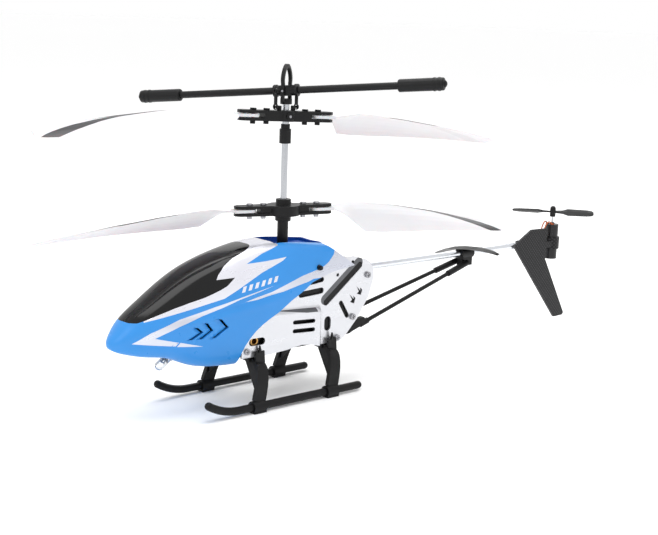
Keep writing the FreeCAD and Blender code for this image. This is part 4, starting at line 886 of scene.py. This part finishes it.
def make_plate(side):
    outline_ys = [y for y, z in PLATE_OUTLINE]
    outline_zs = [z for y, z in PLATE_OUTLINE]
    ys = np.arange(min(outline_ys) - PLATE_STEP, max(outline_ys) + PLATE_STEP, PLATE_STEP)
    zs = np.arange(min(outline_zs) - PLATE_STEP, max(outline_zs) + PLATE_STEP, PLATE_STEP)
    sheet = bmesh.new()
    rows = [[sheet.verts.new(place(0, y, z)) for z in zs] for y in ys]
    for near, far in zip(rows, rows[1:]):
        for i in range(len(zs) - 1):
            sheet.faces.new((near[i], far[i], far[i + 1], near[i + 1]))
    y0, y1 = WINDOWS[side]
    openings = [slot_outline(*slot) for slot in PLATE_SLOTS] + [slot_outline(*RAIL)]
    openings.append(slot_outline(y0, WINDOW_Z, y1, WINDOW_Z, WINDOW_WIDTH))
    openings += [round_outline(*hole) for hole in PLATE_HOLES]
    openings += [[(y + dy, z + dz) for dy, dz in HOOK] for y, z in HOOKS]
    ry0, rz0, ry1, rz1, width = RAIL
    shift_y, shift_z = RAIL_LIP_SHIFT
    lip = slot_outline(ry0 + shift_y, rz0 + shift_z, ry1 + shift_y, rz1 + shift_z,
                       width + RAIL_LIP)
    for outline in [PLATE_OUTLINE, lip, PRESSED_LEDGE_SHADE] + openings:
        score_side(sheet, outline)
    gone = [f for f in sheet.faces if not inside(PLATE_OUTLINE, *side_point(f))]
    bmesh.ops.delete(sheet, geom=gone, context="FACES")
    bmesh.ops.delete(sheet, geom=faces_inside(sheet, openings), context="FACES")
    # painted shade: the rail's lip and the step under the pressed panel take the darker metal
    for face in faces_inside(sheet, [lip, PRESSED_LEDGE_SHADE]):
        face.material_index = 1
    for vert in sheet.verts:
        y, z = (vert.co.y - MAST_Y) / MM, vert.co.z / MM
        vert.co.x = side * (PLATE_X + plate_relief(y, z)) * MM
    bmesh.ops.remove_doubles(sheet, verts=sheet.verts, dist=2e-6)
    bmesh.ops.recalc_face_normals(sheet, faces=sheet.faces)
    facing = sum(face.normal.x for face in sheet.faces) * side
    if facing < 0:
        bmesh.ops.reverse_faces(sheet, faces=sheet.faces)
    name = "port" if side > 0 else "starboard"
    plate = mesh_object(name + "_plate", sheet, [plate_metal, plate_painted_shade], "airframe")
    thicken(plate, PLATE_WALL, 0.1)
    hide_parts(name + "_side_plate")


make_plate(1)
make_plate(-1)

# ---------------------------------------------------------------- liners behind the plates

LINER_X = 8.95
LINER_WALL = 0.3
LINER_OUTLINE = [
    (-14.4, 20.6), (-4.8, 21.2), (2.0, 22.2), (7.0, 21.5), (21.0, 20.7), (23.8, 21.8), (29.8, 28.3),
    (35.2, 36.3), (37.4, 43.3), (36.6, 46.5), (33.6, 49.2), (28.0, 50.8), (14.0, 50.4), (-1.6, 49.6),
    (-8.9, 47.3), (-13.0, 42.0), (-14.4, 30.0),
]


def make_liner(side):
    """The black moulded inner frame that shows through the plate's slots."""
    sheet = bmesh.new()
    ring = [sheet.verts.new(place(side * LINER_X, y, z)) for y, z in LINER_OUTLINE]
    face = sheet.faces.new(ring if side > 0 else ring[::-1])
    if face.normal.x * side < 0:
        face.normal_flip()
    name = "port" if side > 0 else "starboard"
    liner = mesh_object(name + "_inner_liner", sheet, [black_plastic], "airframe")
    thicken(liner, LINER_WALL, 0.1)


make_liner(1)
make_liner(-1)

# ---------------------------------------------------------------- inside of the headlight

# The lamp's dish and its two posts, along the lamp's axis: distance, radius.
DISH_PROFILE = [
    (-0.4, 0.0), (-0.4, 0.3), (0.4, 0.45), (0.9, 1.0), (1.5, 1.25), (1.5, 1.1), (1.0, 0.7),
    (0.9, 0.0),
]
POST_PROFILE = [(0.0, 0.0), (0.0, 0.2), (2.3, 0.2), (2.4, 0.35), (2.9, 0.35), (2.9, 0.0)]
POST_OFFSET = 0.55


def lathe(name, profile, base, way, finish, body, sides=24):
    """Turns a (distance, radius) profile about the line from base along way."""
    way = Vector(way).normalized()
    across = way.orthogonal().normalized()
    other = way.cross(across)
    shape = bmesh.new()
    rings = []
    for along, radius in profile:
        middle = base + way * along * MM
        if radius == 0:
            rings.append([shape.verts.new(middle)])
            continue
        ring = []
        for step in range(sides):
            angle = 2 * math.pi * step / sides
            spoke = across * math.cos(angle) + other * math.sin(angle)
            ring.append(shape.verts.new(middle + spoke * radius * MM))
        rings.append(ring)
    for near, far in zip(rings, rings[1:]):
        for i in range(sides):
            j = (i + 1) % sides
            loop = [near[i % len(near)], near[j % len(near)], far[j % len(far)], far[i % len(far)]]
            loop = list(dict.fromkeys(loop))
            shape.faces.new(loop)
    bmesh.ops.recalc_face_normals(shape, faces=shape.faces)
    made = mesh_object(name, shape, [finish], body)
    made.data.set_sharp_from_angle(angle=math.radians(40))
    return made


def make_lamp_inside():
    base, way = place(*LAMP_BASE), Vector(LAMP_WAY).normalized()
    lathe("lamp_dish", DISH_PROFILE, base, way, screw_steel, "airframe")
    for side in (-1, 1):
        offset = Vector((side * POST_OFFSET * MM, 0, 0))
        post = lathe("lamp_post_port" if side > 0 else "lamp_post_starboard", POST_PROFILE,
                     base + offset, way, screw_steel, "airframe", 12)


make_lamp_inside()

# ---------------------------------------------------------------- softened edges on the CAD nodes

EDGE_ROUNDING = {
    "port_front_leg": 0.45, "port_rear_leg": 0.45,
    "starboard_front_leg": 0.45, "starboard_rear_leg": 0.45,
    "port_skid_tube": 0.25, "starboard_skid_tube": 0.25, "lower_deck": 0.2, "motor_deck": 0.2,
    "upper_deck": 0.2, "rear_frame": 0.25, "front_motor": 0.25, "rear_motor": 0.25, "battery": 0.8,
    "circuit_board": 0.1, "charge_socket_housing": 0.15, "charge_socket_liner": 0.1,
    "switch_housing": 0.15, "switch_slider": 0.15, "tail_boom": 0.1, "port_brace": 0.2,
    "starboard_brace": 0.2, "stabiliser": 0.15, "tail_fin": 0.15, "tail_motor": 0.25,
    "tail_propeller": 0.1, "shaft_collar": 0.15, "shaft_yoke": 0.2, "outer_shaft": 0.1,
    "inner_shaft": 0.1, "lower_rotor_head": 0.2, "upper_rotor_head": 0.2, "flybar_hub": 0.15,
    "flybar_rods": 0.15, "flybar_weights": 0.4, "aft_rotor_link": 0.1, "forward_rotor_link": 0.1,
    "canopy_pegs": 0.12, "headlight_holder": 0.12, "plate_screws": 0.08, "lower_head_bolts": 0.1,
    "upper_head_bolts": 0.1, "front_pinion": 0.04, "rear_pinion": 0.04, "shaft_bushings": 0.08,
}


def soften(node, width):
    weld = node.modifiers.new("weld", "WELD")
    weld.merge_threshold = WELD_DISTANCE
    bevel = node.modifiers.new("soft_edges", "BEVEL")
    bevel.width = width * MM
    bevel.segments = 3
    bevel.limit_method = "ANGLE"
    bevel.angle_limit = SOFT_EDGE_ANGLE
    bevel.use_clamp_overlap = True
    bevel.harden_normals = False
    node.data.shade_smooth()
    smooth = node.modifiers.new("normals", "WEIGHTED_NORMAL")
    smooth.keep_sharp = True


for name, width in EDGE_ROUNDING.items():
    soften(NODES[name], width)
